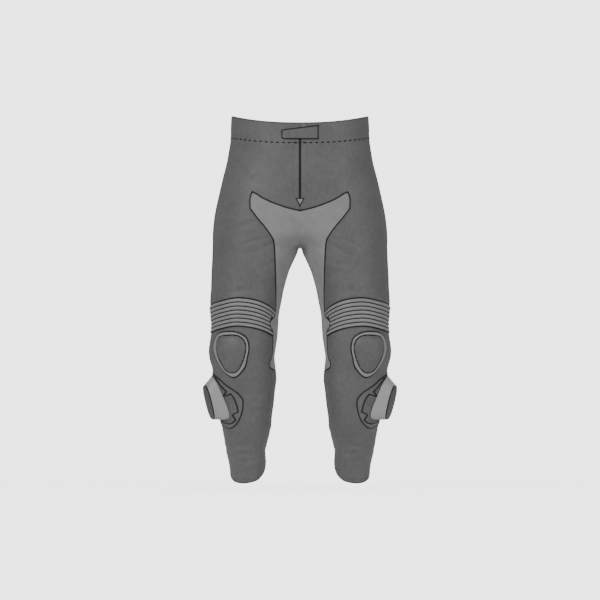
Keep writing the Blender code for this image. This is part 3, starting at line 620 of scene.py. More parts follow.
rib_edges = rib_grid(*RIB_EDGE_GRID)
rib_top = rib_edges[0]
rib_low = rib_edges[-1]
rib_inner = rib_edges[:, 0]
knee_back = curve(list(KNEE_BACK))
knee_side = KNEE_BACK[-1][1]
hem_side = HEM[0][1]
side_upper = side_line(BAND_LOW[1], RIB_TOP[-1][1])
side_ribs = side_line(RIB_TOP[-1][1], RIB_LOW[-1][1])
side_knee = side_line(RIB_LOW[-1][1], knee_side)
side_lower = side_line(knee_side, hem_side)
inseam_heights = np.linspace(STRIP_TIP[1], HEM[6][1], INSEAM_POINTS)
inseam = np.stack([np.zeros(INSEAM_POINTS), inseam_heights], axis=1)
zip_lines = []
for angle in (ZIP_ANGLE - ZIP_HALF_WIDTH, ZIP_ANGLE + ZIP_HALF_WIDTH):
    zip_lines.append(straight([(angle, float(from_table(HEM, angle))), (angle, ZIP_TOP)], 4.0, closed=False))
hem_front = hem[hem[:, 0] <= TOUCHING]
hem_back = hem[hem[:, 0] >= -TOUCHING]
hem_inner = hem_back[hem_back[:, 0] < ZIP_ANGLE - ZIP_HALF_WIDTH - HEM_CLEAR]
hem_outer = hem_back[hem_back[:, 0] > ZIP_ANGLE + ZIP_HALF_WIDTH + HEM_CLEAR]
print("ribs:", RIB_COUNT, "with", len(rib_top), "points along the top edge")

# %% [markdown]
# ## Cutting a panel
#
# A panel is the part of the form inside its outline. Rows of points follow its edge closely, where
# the leather rolls into the seam, and a staggered grid fills the rest. Blender's own triangulation
# joins them. Most seams are drawn as plain dark lines: there the edge rolls in, and painted shade
# darkens it near black. The fly's edges only roll, and the waist seam does neither, because just its
# stitches show.

# %% Outline helpers
QUIET = 0
ROLLED = 1
# Edges of this kind roll in and get painted shade along them
DARK = 2


def outline_of(*runs):
    """A closed outline from runs that follow each other, each with its kind of edge."""
    points = []
    kinds = []
    for run, kind in runs:
        for point in run:
            if not points or np.abs(np.subtract(points[-1], point)).max() > TOUCHING:
                points.append(tuple(point))
                kinds.append(kind)
            else:
                kinds[-1] = kind
    if np.abs(np.subtract(points[0], points[-1])).max() < TOUCHING:
        points.pop()
        kinds.pop()
    return np.array(points), np.array(kinds)


def flat(points, front=False):
    """Points laid out in millimetres each way, so that distances are nearly true."""
    points = np.asarray(points, float)
    if front:
        return points
    return np.stack([points[:, 0] * degree_length(points[:, 1]), points[:, 1]], axis=1)


def unflat(points, front=False):
    if front:
        return points
    return np.stack([points[:, 0] / degree_length(points[:, 1]), points[:, 1]], axis=1)


def inside(points, outline):
    """Which flat points lie inside a flat outline."""
    start = outline
    end = np.roll(outline, -1, axis=0)
    x, y = points[:, :1], points[:, 1:]
    rising = (start[:, 1] > y) != (end[:, 1] > y)
    height = np.where(end[:, 1] == start[:, 1], TINY, end[:, 1] - start[:, 1])
    cross = start[:, 0] + (y - start[:, 1]) * (end[:, 0] - start[:, 0]) / height
    return (rising & (x < cross)).sum(axis=1) % 2 == 1


def clearance(points, starts, ends):
    """Each flat point's distance from the nearest of some straight runs."""
    if not len(starts):
        return np.full(len(points), np.inf)
    run = ends - starts
    length = np.maximum((run ** 2).sum(axis=1), TINY)
    away = points[:, None, :] - starts[None]
    share = np.clip((away * run).sum(axis=2) / length, 0, 1)
    return np.sqrt(((away - share[..., None] * run) ** 2).sum(axis=2)).min(axis=1)


def border_clearance(points, border):
    """Each point's distance from a closed border."""
    return clearance(points, border, np.roll(border, -1, axis=0))


print("kinds of edge:", QUIET, ROLLED, DARK)

# %% [markdown]
# An edge that rolls into a seam needs close rows of points, and open leather needs few. Rows are
# laid inside the outline first, then a staggered grid, and a triangulation joins them.

# %% Fill an outline with points and triangles
EDGE_ROWS = (0.7, 1.5, 2.6, 4.2)
# A point of a row is kept if it has this much of the row's distance from every edge
ROW_SHARE = 0.93
# In a grid of even triangles the rows are this much of a pitch apart
GRID_RATIO = 0.87
GRID_MARGIN = 0.45
WELD_DISTANCE = 0.0005


def inner_row(border, distance):
    """Points that lie a distance inside a flat outline, and which of the outline's points have one."""
    following = np.roll(border, -1, axis=0)
    area = (border[:, 0] * following[:, 1] - following[:, 0] * border[:, 1]).sum()
    run = following - np.roll(border, 1, axis=0)
    inward = np.stack([-run[:, 1], run[:, 0]], axis=1) * (1 if area > 0 else -1)
    inward /= np.maximum(np.linalg.norm(inward, axis=1, keepdims=True), TINY)
    row = border + inward * distance
    fits = inside(row, border) & (border_clearance(row, border) > distance * ROW_SHARE)
    return row, fits


def fill(outline, pitch, rows=EDGE_ROWS, front=False):
    """Points of the form's two measures, and the triangles between them."""
    border = flat(outline, front)
    kept = []
    for distance in rows:
        row, fits = inner_row(border, distance)
        kept.append(row[fits])
    low, high = border.min(axis=0), border.max(axis=0)
    heights = np.arange(low[1] + pitch / 2, high[1], pitch * GRID_RATIO)
    grid = []
    for number, height in enumerate(heights):
        xs = np.arange(low[0] + (number % 2) * pitch / 2, high[0], pitch)
        grid.append(np.stack([xs, np.full(len(xs), height)], axis=1))
    grid = np.concatenate(grid)
    margin = rows[-1] + pitch * GRID_MARGIN
    grid = grid[inside(grid, border)]
    grid = grid[border_clearance(grid, border) > margin]
    edges = [(i, (i + 1) % len(border)) for i in range(len(border))]
    vectors = [Vector(point) for point in np.concatenate([border] + kept + [grid])]
    placed, _, faces = delaunay_2d_cdt(vectors, edges, [], 1, WELD_DISTANCE)[:3]
    return unflat(np.array([tuple(point) for point in placed]), front), np.array(faces)


print("rows inside each edge:", EDGE_ROWS)

# %% [markdown]
# ## Creases
#
# Leather holds the folds that wear has put in it: short ones that fan out from the crotch, level
# ones behind the knee and over the ankle, slack ones under the seat. The photo is a plain drawing
# and shows none in front, so those stay shallow. Each crease is a soft trough with a low ridge on
# both sides, and no two are the same length or depth.

# %% Table of creases
# Creases behind are this much deeper, because the photo's plain front keeps those in front shallow
HIDDEN_DEPTH = 2.3
# On the right leg a crease lies this many degrees further round and this many millimetres higher
RIGHT_NUDGE = 3.0
# A crease that both legs have leans by this share of its slant on the right
RIGHT_LEAN = 0.8
# Each ridge beside a trough stands this share of the trough's depth
RIDGE_SHARE = 0.45
# Slack between the creases: a whole number of waves goes round, so a seam's two sides match
WAVE_DEPTH = 0.35
WAVE_HEIGHT = 21
WAVES_ROUND = 4
WAVE_START = 1.3
DRIFTS_ROUND = 2
DRIFT_REACH = 1.7
DRIFT_START = {"left": 0.9, "right": 2.6}
# legs, angle, height, slant, length, width, depth and bend
CREASES = (
    ("both", -84, -316, 34, 46, 6.0, 1.5, 0.10),
    ("both", -96, -296, 28, 38, 5.0, 1.1, -0.08),
    ("left", -74, -352, 18, 40, 6.5, 1.3, 0.12),
    ("right", -70, -360, 24, 48, 6.0, 1.4, 0.10),
    ("both", -118, -258, 20, 52, 8.0, 1.0, 0.06),
    ("left", -92, -424, -6, 46, 6.0, 1.3, -0.10),
    ("right", -104, -430, 5, 52, 6.5, 1.2, -0.12),
    ("both", -146, -432, -10, 40, 6.0, 1.2, 0.10),
    ("left", -128, -120, 12, 44, 9.0, 0.9, 0.05),
    ("right", -124, -136, -9, 50, 9.0, 0.9, -0.05),
    ("both", -150, -205, 16, 56, 9.0, 1.1, 0.06),
    ("both", -60, -700, 14, 34, 5.5, 1.0, 0.12),
    ("left", -66, -760, -9, 38, 6.0, 1.1, 0.10),
    ("right", -58, -744, 8, 42, 5.5, 1.1, -0.10),
    ("both", -96, -838, 6, 40, 5.0, 1.7, -0.14),
    ("left", -80, -856, -5, 46, 4.5, 1.9, -0.12),
    ("right", -104, -862, 4, 42, 4.5, 1.8, -0.10),
    ("both", -78, -880, 3, 34, 4.0, 1.4, 0.10),
    ("both", 92, -548, 3, 66, 6.5, 3.2, 0.16),
    ("left", 76, -566, -4, 54, 5.5, 2.6, 0.14),
    ("right", 82, -564, 5, 58, 6.0, 2.8, 0.12),
    ("both", 104, -592, -3, 60, 6.0, 2.9, -0.12),
    ("left", 88, -614, 4, 50, 6.0, 2.2, -0.14),
    ("right", 96, -618, -5, 46, 6.0, 2.2, -0.12),
    ("both", 120, -520, 8, 44, 7.0, 1.8, 0.10),
    ("both", 66, -526, -8, 40, 7.0, 1.6, 0.10),
    ("left", 84, -318, 30, 62, 8.0, 2.4, 0.14),
    ("right", 88, -324, 26, 58, 8.0, 2.5, 0.14),
    ("both", 100, -292, 24, 66, 9.0, 1.9, 0.10),
    ("both", 112, -350, 14, 54, 8.0, 1.8, 0.10),
    ("both", 118, -110, -14, 48, 10.0, 1.3, -0.06),
    ("both", 142, -176, 18, 60, 10.0, 1.3, 0.06),
    ("left", 64, -842, 5, 38, 5.0, 1.9, 0.12),
    ("right", 122, -848, -6, 36, 5.0, 1.9, 0.12),
    ("both", 128, -868, 3, 36, 4.5, 1.8, 0.10),
    ("both", 60, -876, -3, 34, 4.5, 1.6, 0.10),
    ("both", 150, -700, 24, 40, 7.0, 1.4, 0.10),
    ("both", 172, -846, 6, 34, 5.0, 0.4, 0.10),
    ("both", 10, -800, 8, 44, 6.0, 0.5, 0.08),
    ("both", 8, -850, -6, 30, 5.0, 0.4, 0.10),
)


def creased(points, leg):
    """How far the leather stands proud at each point, in millimetres."""
    scale = degree_length(points[:, 1])
    total = np.zeros(len(points))
    for legs, angle, height, slant, length, width, depth, bend in CREASES:
        if legs not in ("both", leg):
            continue
        nudge = RIGHT_NUDGE if leg == "right" else 0.0
        turned = (points[:, 0] - angle - nudge + 180) % 360 - 180
        x = turned * scale
        y = points[:, 1] - height - nudge
        lean = math.radians(slant if legs != "both" or leg == "left" else slant * RIGHT_LEAN)
        along = x * math.cos(lean) + y * math.sin(lean)
        over = y * math.cos(lean) - x * math.sin(lean) - bend * along * along / length
        fade = np.clip(1 - (along / length) ** 2, 0, 1) ** 2
        trough = -np.exp(-(over / width) ** 2)
        ridges = RIDGE_SHARE * np.exp(-((np.abs(over) - 2 * width) / width) ** 2)
        behind = HIDDEN_DEPTH if angle > 0 else 1.0
        total += depth * behind * fade * (trough + ridges)
    # A slow drift keeps the two legs' slack from matching
    drift = np.sin(np.radians(DRIFTS_ROUND * points[:, 0]) + DRIFT_START[leg]) * DRIFT_REACH
    around = np.sin(np.radians(WAVES_ROUND * points[:, 0]) + WAVE_START)
    return total + WAVE_DEPTH * np.sin(points[:, 1] / WAVE_HEIGHT + drift) * around


print("creases:", len(CREASES))

# %% [markdown]
# ## Meshes
#
# Every piece is a mesh of corners and faces. Its points also carry values that materials read, such
# as how near they are to a seam, and a map of where each lay on the flat cloth.

# %% Mesh objects, their values and their maps


def make_mesh_object(name, corners, faces, materials, face_slots=None, edges=()):
    mesh = bpy.data.meshes.new(name)
    corners = [tuple(corner) for corner in np.asarray(corners) * MM]
    mesh.from_pydata(corners, edges, [tuple(f) for f in faces])
    for material in materials:
        mesh.materials.append(material)
    if face_slots is not None:
        mesh.polygons.foreach_set("material_index", face_slots)
    mesh.shade_smooth()
    mesh.update()
    piece = bpy.data.objects.new(name, mesh)
    bpy.context.scene.collection.objects.link(piece)
    return piece


def set_attribute(piece, name, values, kind="FLOAT"):
    attribute = piece.data.attributes.new(name, kind, "POINT")
    key = "vector" if kind == "FLOAT_VECTOR" else "value"
    attribute.data.foreach_set(key, np.asarray(values, np.float32).ravel())


def set_map(piece, flat_points):
    """A UV map in metres, laid out as the cloth was cut."""
    layer = piece.data.uv_layers.new(name="cut")
    corner = np.zeros(len(piece.data.loops), np.int32)
    piece.data.loops.foreach_get("vertex_index", corner)
    layer.data.foreach_set("uv", (np.asarray(flat_points)[corner] * MM).astype(np.float32).ravel())


print("mesh helpers ready")

# %% [markdown]
# A sheet has two sides and a rim. These helpers find the rim, turn the faces outward, join the two
# sides along it, and make a right piece of a left one by mirroring it.

# %% Rims, sides and mirror images


def border_edges(faces):
    """The edges that only one face has, in the direction in which it runs round them."""
    sides = faces.shape[1]
    edges = np.concatenate([faces[:, [side, (side + 1) % sides]] for side in range(sides)])
    key = np.sort(edges, axis=1)
    order = key[:, 0].astype(np.int64) * (key.max() + 1) + key[:, 1]
    _, first, count = np.unique(order, return_index=True, return_counts=True)
    return edges[first[count == 1]]


def facing_out(faces, places, normals):
    a, b, c = (places[faces[:, i]] for i in range(3))
    turned = (np.cross(b - a, c - a) * normals[faces].sum(axis=1)).sum(axis=1) < 0
    faces = faces.copy()
    faces[turned] = faces[turned][:, ::-1]
    return faces


def both_sides(faces, count, rim):
    """A shell's outer faces, its inner ones and the wall between them along the rim."""
    result = [tuple(f) for f in faces] + [tuple(f[::-1] + count) for f in faces]
    return result + [(end, start, count + start, count + end) for start, end in rim]


def side_of(leg):
    """Left is modelled as it lies, and right is its mirror image."""
    return np.array([1, 1, 1]) if leg == "left" else np.array([-1, 1, 1])


def mirror(parts):
    flipped = dict(parts)
    flipped["corners"] = parts["corners"] * side_of("right")
    flipped["faces"] = [tuple(face[::-1]) for face in parts["faces"]]
    return flipped


def settle(places, normals, edges, amounts, joined):
    """The border's points moved in across the form by their seam's gap."""
    shift = np.zeros_like(places)
    for start, end in edges:
        if joined and places[start, 0] == 0 and places[end, 0] == 0:
            continue
        run = places[end] - places[start]
        for index in (start, end):
            side = np.cross(normals[index], run)
            shift[index] += side / max(np.linalg.norm(side), TINY)
    length = np.linalg.norm(shift, axis=1, keepdims=True)
    shift = shift / np.maximum(length, TINY) * amounts[:, None]
    if joined:
        shift[places[:, 0] == 0, 0] = 0
    return places + shift


print("shell helpers ready")

# %% [markdown]
# Real leather has an outer face, an inner face and a cut edge between them. The shell has all
# three, closed, with its edge rolled down where it is turned and sewn into a seam.

# %% Build a shell from points on the form
LEATHER = 1.8
ROLL_REACH = 2.3
ROLL_DEPTH = 1.2
EDGE_INSET = 0.45
# A patch lies alone, so the painted shade line round it is all on its own side
LONE_EDGE = 0.62
# Inside, the turned allowances lap by a little, so no light comes through a seam
INNER_LAP = 0.25
# How near to its seam a point of the border counts as sewn
SEWN_WITHIN = 0.3
# Two crossed waves pucker the leather along a seam, deepest this far in from it
PUCKER_DEPTH = 0.22
PUCKER_PEAK = 5
PUCKER_REACH = 4
PUCKER_LONG = (0.62, 0.55)
PUCKER_CROSS = (0.58, 0.31)


def shell(name, outline, leg, materials, low=-LEATHER, high=0.0, pitch=5.0, joined=False, front=False):
    """A thin closed shell on the form: leather outside, its rougher side within."""
    points, kinds = outline
    place = on_front if front else on_leg
    filled, faces = fill(points, pitch, front=front)
    places = place(filled[:, 0], filled[:, 1])
    starts = place(points[:, 0], points[:, 1])
    ends = np.roll(starts, -1, axis=0)
    # Distance from the dark seams, which the materials read to paint shade along them
    edge_dark = clearance(places, starts[kinds == DARK], ends[kinds == DARK])
    edge_rolled = clearance(places, starts[kinds != QUIET], ends[kinds != QUIET])
    edge_any = clearance(places, starts, ends)
    normals = way_out(places)
    faces = facing_out(faces, places, normals)
    edges = border_edges(faces)
    sewn = edge_dark < SEWN_WITHIN
    settled = settle(places, normals, edges, np.where(sewn, EDGE_INSET, 0.0), joined)
    share = np.clip(1 - edge_rolled / ROLL_REACH, 0, 1)
    slack = np.zeros(len(filled)) if front else creased(filled, leg)
    pucker = np.sin(places[:, 0] * PUCKER_LONG[0] + places[:, 2] * PUCKER_LONG[1])
    pucker = pucker * np.sin(places[:, 1] * PUCKER_CROSS[0] - places[:, 2] * PUCKER_CROSS[1])
    lift = slack - ROLL_DEPTH * (1 - np.sqrt(1 - share * share))
    lift = lift + PUCKER_DEPTH * pucker * np.exp(-((edge_any - PUCKER_PEAK) / PUCKER_REACH) ** 2)
    outer = settled + normals * (high + lift)[:, None]
    lapped = settle(places, normals, edges, np.where(sewn, -INNER_LAP, 0.0), joined)
    inner = lapped + normals * (low + slack)[:, None]
    rim = [(start, end) for start, end in edges if not joined or places[start, 0] or places[end, 0]]
    parts = {
        "name": name, "materials": materials, "corners": np.concatenate([outer, inner]),
        "faces": both_sides(faces, len(filled), rim),
        "slots": [0] * len(faces) + [1] * len(faces) + [0] * len(rim),
        "edge": np.concatenate([edge_dark, edge_dark]), "layout": np.tile(flat(filled, front), (2, 1)),
    }
    return parts if leg == "left" else mirror(parts)


print("leather thickness", LEATHER, "mm")

# %% [markdown]
# Each sheet carries a map of the flat cut that it was sewn from. A piece is then given its body,
# and the solids of the imported model that it stands for are hidden.


def finish_piece(piece, slot_name, *nodes):
    """Give the piece its body and hide the solids that it stands for; the slot name is not used."""
    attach(piece, BODY)
    if nodes:
        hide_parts(*nodes)
    area = sum(polygon.area for polygon in piece.data.polygons) / 2
    print(piece.name, len(piece.data.polygons), "faces,", round(area, 4), "square metres a side")


def finish_shell(parts, slot_name, *nodes):
    name = parts["name"] + "_skin"
    piece = make_mesh_object(name, parts["corners"], parts["faces"], parts["materials"], parts["slots"])
    set_attribute(piece, "edge", parts["edge"])
    set_map(piece, parts["layout"])
    finish_piece(piece, slot_name, *(nodes or [parts["name"]]))


# %% [markdown]
# ## Leather
#
# The panels are cowhide about 1.3 mm thick, chrome tanned, dyed through and lightly finished. Its
# grain is a net of small rounded cells, which catches light as a fine broken sheen. The grain of
# real hide is under a millimetre and wouldn't show at this distance, so it is drawn at about
# 2.5 mm. Where a panel rolls into its seam, painted shade makes the leather near black, which makes
# every seam read as a dark line. Painted shade also darkens it where it turns away from the eye.

# %% Leather material
# Painted shade in seams, grooves and toward the outline is mixed toward this near black
PAINTED_SHADE_BLACK = "#0b0b0b"


def start_material(name, roughness):
    material = bpy.data.materials.new(name)
    material.use_nodes = True
    shader = material.node_tree.nodes["Principled BSDF"]
    shader.inputs["Roughness"].default_value = roughness
    return material, material.node_tree, shader


def painted_edge_shade(tree, colour, dark_until=1.5, clear_from=2.5):
    """The colour, with painted shade near black where the edge values are small: in seams, valleys and
    grooves.
    """
    edge = add(tree, "ShaderNodeAttribute", attribute_name="edge").outputs["Fac"]
    near = ramp(tree, edge, dark_until, clear_from, 1.0, 0.0)
    return mix(tree, near, colour, linear(PAINTED_SHADE_BLACK))


def painted_glancing_shade(tree, colour, starts=0.74, ends=0.97, most=0.85):
    """The colour with painted shade, darker where the surface turns away from the eye."""
    facing = add(tree, "ShaderNodeLayerWeight", {"Blend": 0.5}).outputs["Facing"]
    return mix(tree, ramp(tree, facing, starts, ends, high=most), colour, linear(PAINTED_SHADE_BLACK))


def leather(name, light, dark, roughness=0.5, grain_mm=2.5, painted_shade_band=(1.5, 2.5)):
    """A hide with cloudy dye over fine grain, which is shiniest on the crown of each grain."""
    material, tree, shader = start_material(name, roughness)
    both = math_node(tree, "ADD", noise(tree, scale=14.0, detail=4.0), noise(tree, scale=90.0, detail=3.0))
    tint = mix(tree, ramp(tree, both, 0.7, 1.3), linear(dark), linear(light))
    # Painted shade: near black where the panel rolls into a seam, and darker where it turns from the eye
    if painted_shade_band:
        tint = painted_glancing_shade(tree, painted_edge_shade(tree, tint, *painted_shade_band))
    tree.links.new(tint, shader.inputs["Base Color"])
    cells = add(tree, "ShaderNodeTexVoronoi", {
        "Vector": add(tree, "ShaderNodeTexCoord").outputs["Object"],
        "Scale": 1 / (grain_mm * MM), "Randomness": 0.95,
    }, feature="SMOOTH_F1").outputs["Distance"]
    wrinkle = noise(tree, scale=160.0, detail=5.0, distortion=0.6)
    relief = math_node(tree, "MULTIPLY_ADD", wrinkle, 0.8, cells)
    raise_bumps(tree, shader, relief, strength=0.35, distance=0.0006)
    shine = ramp(tree, cells, 0.0, 0.8, roughness - 0.08, roughness + 0.14)
    tree.links.new(shine, shader.inputs["Roughness"])
    return material


cowhide = leather("chrome_tanned_cowhide", "#6a6a6a", "#5e5e5e")
light_hide = leather("light_dyed_cowhide", "#959595", "#868686", roughness=0.48, painted_shade_band=(1.1, 1.9))
piping_hide = leather(
    "rolled_piping_leather", "#989898", "#8b8b8b", roughness=0.45, grain_mm=1.8, painted_shade_band=(1.5, 2.1),
)
patch_hide = leather("slider_patch_leather", "#6e6e6e", "#636363", roughness=0.52)
flesh_side = leather("flesh_side_of_hide", "#65625f", "#53504d", roughness=0.85, painted_shade_band=None)
print("leathers made")

# %% [markdown]
# ## Stretch cloth
#
# The lighter panel across the crotch is a woven stretch cloth. Its threads are about 0.6 mm apart,
# too fine to show, so the weave is drawn at 3 mm. The map follows the cloth's cut, so the threads
# run with the panel.

# %% Stretch cloth material


def stretch_cloth(name, light, dark, thread_mm=3.0):
    material, tree, shader = start_material(name, 0.82)
    shader.inputs["Sheen Weight"].default_value = 0.25
    shader.inputs["Sheen Roughness"].default_value = 0.5
    cut = add(tree, "ShaderNodeUVMap", uv_map="cut").outputs["UV"]
    axes = add(tree, "ShaderNodeSeparateXYZ", {"Vector": cut})
    waves = []
    for axis in ("X", "Y"):
        turn = math_node(tree, "MULTIPLY", axes.outputs[axis], math.pi / (thread_mm * MM))
        waves.append(math_node(tree, "ABSOLUTE", math_node(tree, "SINE", turn)))
    weave = math_node(tree, "MULTIPLY", *waves)
    mixed = math_node(tree, "MULTIPLY_ADD", weave, 0.6, noise(tree, scale=40.0, detail=3.0))
    tint = mix(tree, ramp(tree, mixed, 0.4, 1.1), linear(dark), linear(light))
    # Painted shade darkens the cloth in its seams and where it turns away from the eye
    tree.links.new(painted_glancing_shade(tree, painted_edge_shade(tree, tint)), shader.inputs["Base Color"])
    raise_bumps(tree, shader, weave, strength=0.5, distance=0.0005)
    return material


stretch = stretch_cloth("woven_stretch_cloth", "#989898", "#868686")
stretch_inside = stretch_cloth("stretch_cloth_inside", "#5c5c5c", "#4e4e4e")
print("stretch cloth made")

# %% [markdown]
# ## The big panels
#
# Fronts, backs, shins, calves and the waistband are leather. The crotch panel with its strips is
# one run of stretch cloth, made as one piece across the middle.

# %% Outlines of the panels
BACK_POINTS = 58
side_all = np.concatenate([side_upper, side_ribs[1:], side_knee[1:]]) + TURN
back_middle_heights = np.linspace(BAND_LOW[2], CROTCH_BACK_TOP, BACK_POINTS)
back_middle = np.stack([middle_angle(back_middle_heights), back_middle_heights], axis=1)
OUTLINES = {
    "waistband": outline_of(
        (notch_end, QUIET), (notch_side, ROLLED), (band_low[2:], QUIET), (band_top[::-1], DARK),
        (band_top[:1], QUIET),
    ),
    "front": outline_of(
        (below_fly[::-1], QUIET), (fly[::-1], ROLLED), (band_low_front, QUIET), (side_upper, DARK),
        (rib_top[::-1], DARK), (crotch_low[::-1], DARK), (crotch_end[::-1], DARK),
        (crotch_top[1:][::-1], DARK),
    ),
    "back": outline_of(
        (band_low_back, QUIET), (back_middle, DARK), (crotch_back, DARK), (knee_back, DARK),
        (side_all[::-1], DARK),
    ),
    "shin": outline_of(
        (rib_low[::-1], DARK), (strip_front, DARK), (inseam, DARK), (hem_front[::-1], DARK),
        (side_lower[::-1], DARK), (side_knee[::-1], DARK),
    ),
    "calf": outline_of(
        (knee_back[::-1], DARK), (strip_back, DARK), (inseam, DARK), (hem_inner, DARK),
        (zip_lines[0], ROLLED), (zip_lines[1][::-1], ROLLED), (hem_outer, DARK),
        ((side_lower + TURN)[::-1], DARK),
    ),
    "crotch_panel": outline_of(
        (crotch_top, DARK), (crotch_end, DARK), (crotch_low, DARK), (rib_inner, DARK),
        (strip_front, DARK), (strip_back[::-1], DARK), (crotch_back[::-1], DARK),
        (crotch_middle[::-1], QUIET),
    ),
}
print("outlines:", sorted(OUTLINES))

# %% [markdown]
# A cutter lays each pattern once on the hide and once turned over. The left panel is modelled and
# the right one is mirrored, with creases of its own, because no two legs wear alike.

# %% Leather panels, left and right
LEGS = ("left", "right")
LEATHER_PANELS = ("waistband", "front", "back", "shin", "calf")
for name in LEATHER_PANELS:
    for leg in LEGS:
        finish_shell(shell(name + "_" + leg, OUTLINES[name], leg, [cowhide, flesh_side]), "leather")

# %% [markdown]
# The cloth runs from one leg to the other without a seam, so its two halves are welded along
# the middle into one piece.

# %% The stretch panel, joined across the middle
ON_MIDDLE = 1e-6


def weld(left, right):
    """One panel from a left half and a mirrored right half that share their middle points."""
    middle = {tuple(np.round(c, 3)): i for i, c in enumerate(left["corners"]) if abs(c[0]) < ON_MIDDLE}
    number = []
    extra = []
    for index, corner in enumerate(right["corners"]):
        on_middle = abs(corner[0]) < ON_MIDDLE
        twin = middle.get(tuple(np.round(corner * [0, 1, 1], 3))) if on_middle else None
        if twin is None:
            twin = len(left["corners"]) + len(extra)
            extra.append(index)
        number.append(twin)
    joined = dict(left)
    joined["faces"] = left["faces"] + [tuple(number[i] for i in face) for face in right["faces"]]
    joined["slots"] = left["slots"] + right["slots"]
    for key in ("corners", "edge", "layout"):
        joined[key] = np.concatenate([left[key], right[key][extra]])
    return joined


half_panel = shell("crotch_panel", OUTLINES["crotch_panel"], "left", [stretch, stretch_inside], joined=True)
whole_panel = weld(half_panel, mirror(half_panel))
finish_shell(whole_panel, "stretch", "crotch_panel", "inner_strip_left", "inner_strip_right")

# %% [markdown]
# ## Growing things with Geometry Nodes
#
# Ribs, stitches, zip teeth and hooks follow simple rules, so node trees make them. Each tree has
# named inputs, and its result is kept as a plain mesh before the piece joins the frame.

# %% Helpers for node trees


def start_tree(name, inputs):
    """A geometry tree with its own inputs, given as name, socket type and default value."""
    tree = bpy.data.node_groups.new(name, "GeometryNodeTree")
    tree.interface.new_socket("Geometry", in_out="OUTPUT", socket_type="NodeSocketGeometry")
    tree.interface.new_socket("Geometry", in_out="INPUT", socket_type="NodeSocketGeometry")
    for label, kind, default in inputs:
        socket = tree.interface.new_socket(label, in_out="INPUT", socket_type=kind)
        if default is not None:
            socket.default_value = default
    start = tree.nodes.new("NodeGroupInput")
    end = tree.nodes.new("NodeGroupOutput")
    return tree, start.outputs, end.inputs[0]


def finish_tree(tree, geometry, material, end):
    whole = add(tree, "GeometryNodeRealizeInstances", {0: geometry})
    painted = add(tree, "GeometryNodeSetMaterial", {"Geometry": whole.outputs[0], "Material": material})
    tree.links.new(painted.outputs[0], end)


def bake_modifiers(piece):
    """Keep the modifiers' result as a plain mesh."""
    graph = bpy.context.evaluated_depsgraph_get()
    result = bpy.data.meshes.new_from_object(
        piece.evaluated_get(graph), preserve_all_data_layers=True, depsgraph=graph,
    )
    piece.modifiers.clear()
    source = piece.data
    piece.data = result
    bpy.data.meshes.remove(source)
    result.name = piece.name
    result.shade_smooth()


def grow(piece, tree, values):
    """Run a tree on a piece and keep what it makes."""
    modifier = piece.modifiers.new(tree.name, "NODES")
    modifier.node_group = tree
    for item in tree.interface.items_tree:
        if item.in_out == "INPUT" and item.name in values:
            modifier[item.identifier] = values[item.name]
    bake_modifiers(piece)


def named_attribute(tree, name, kind="FLOAT"):
    node = add(tree, "GeometryNodeInputNamedAttribute", {"Name": name}, data_type=kind)
    return node.outputs["Attribute"]


print("tree helpers ready")

# %% [markdown]
# ## Ribs over the knees
#
# Above each knee the panel is gathered over elastic into seven soft ribs, so that it can open like
# a bellows when the knee bends. A plain panel carries two values: how far down the ribs a point is,
# and which way is out. The tree turns them into round ribs with sharp valleys, and stores how near
# each point is to a valley, so that the leather has painted shade in the valleys.

# %% Tree that raises ribs
RIB_HEIGHT = 3.4
RIB_ROWS = 10
RIB_COLUMNS = 96
RIB_SPACING = 10.8
# A lower power makes a rib's crown flatter and its sides steeper
RIB_ROUNDNESS = 0.6


def ribs_tree():
    tree, inputs, end = start_tree("raise_ribs", (
        ("Rib height", "NodeSocketFloat", RIB_HEIGHT * MM),
        ("Rib spacing", "NodeSocketFloat", RIB_SPACING),
    ))
    within = math_node(tree, "FRACT", named_attribute(tree, "phase"))
    centred = math_node(tree, "MULTIPLY_ADD", within, 2.0, -1.0)
    square = math_node(tree, "MULTIPLY", centred, centred)
    crown = math_node(tree, "POWER", math_node(tree, "SUBTRACT", 1.0, square), RIB_ROUNDNESS)
    rise = math_node(tree, "MULTIPLY", crown, named_attribute(tree, "rise"))
    offset = math_node(tree, "MULTIPLY", rise, inputs["Rib height"])
    move = add(tree, "ShaderNodeVectorMath", {
        0: named_attribute(tree, "out", "FLOAT_VECTOR"), "Scale": offset,
    }, operation="SCALE")
    placed = add(tree, "GeometryNodeSetPosition", {"Geometry": inputs["Geometry"], "Offset": move.outputs[0]})
    # Painted shade: the valleys get a short distance to an edge, so the leather darkens them
    valley = math_node(tree, "SUBTRACT", 1.0, math_node(tree, "ABSOLUTE", centred))
    half_spacing = math_node(tree, "MULTIPLY", inputs["Rib spacing"], 0.5)
    from_valley = math_node(tree, "MULTIPLY", valley, half_spacing)
    nearest = math_node(tree, "MINIMUM", from_valley, named_attribute(tree, "edge"))
    stored = add(tree, "GeometryNodeStoreNamedAttribute", {
        "Geometry": placed.outputs[0], "Name": "edge", "Value": nearest,
    }, data_type="FLOAT", domain="POINT")
    tree.links.new(stored.outputs[0], end)
    return tree


raise_ribs = ribs_tree()
print("rib height", RIB_HEIGHT, "mm")

# %% [markdown]
# The plain panel is a grid of points that follows the ribs, with its inner end notched. The ribs
# sink to nothing at both ends, where they are caught in the seams.

# %% Ribbed panels
RIB_FADE = 6.0
RIB_SLACK = 0.5


def edge_from_sides(square):
    """How far along its row each point is from the nearer end, in millimetres."""
    steps = np.linalg.norm(np.diff(square, axis=1), axis=2)
    along = np.concatenate([np.zeros((len(square), 1)), np.cumsum(steps, axis=1)], axis=1)
    return np.minimum(along, along[:, -1:] - along)


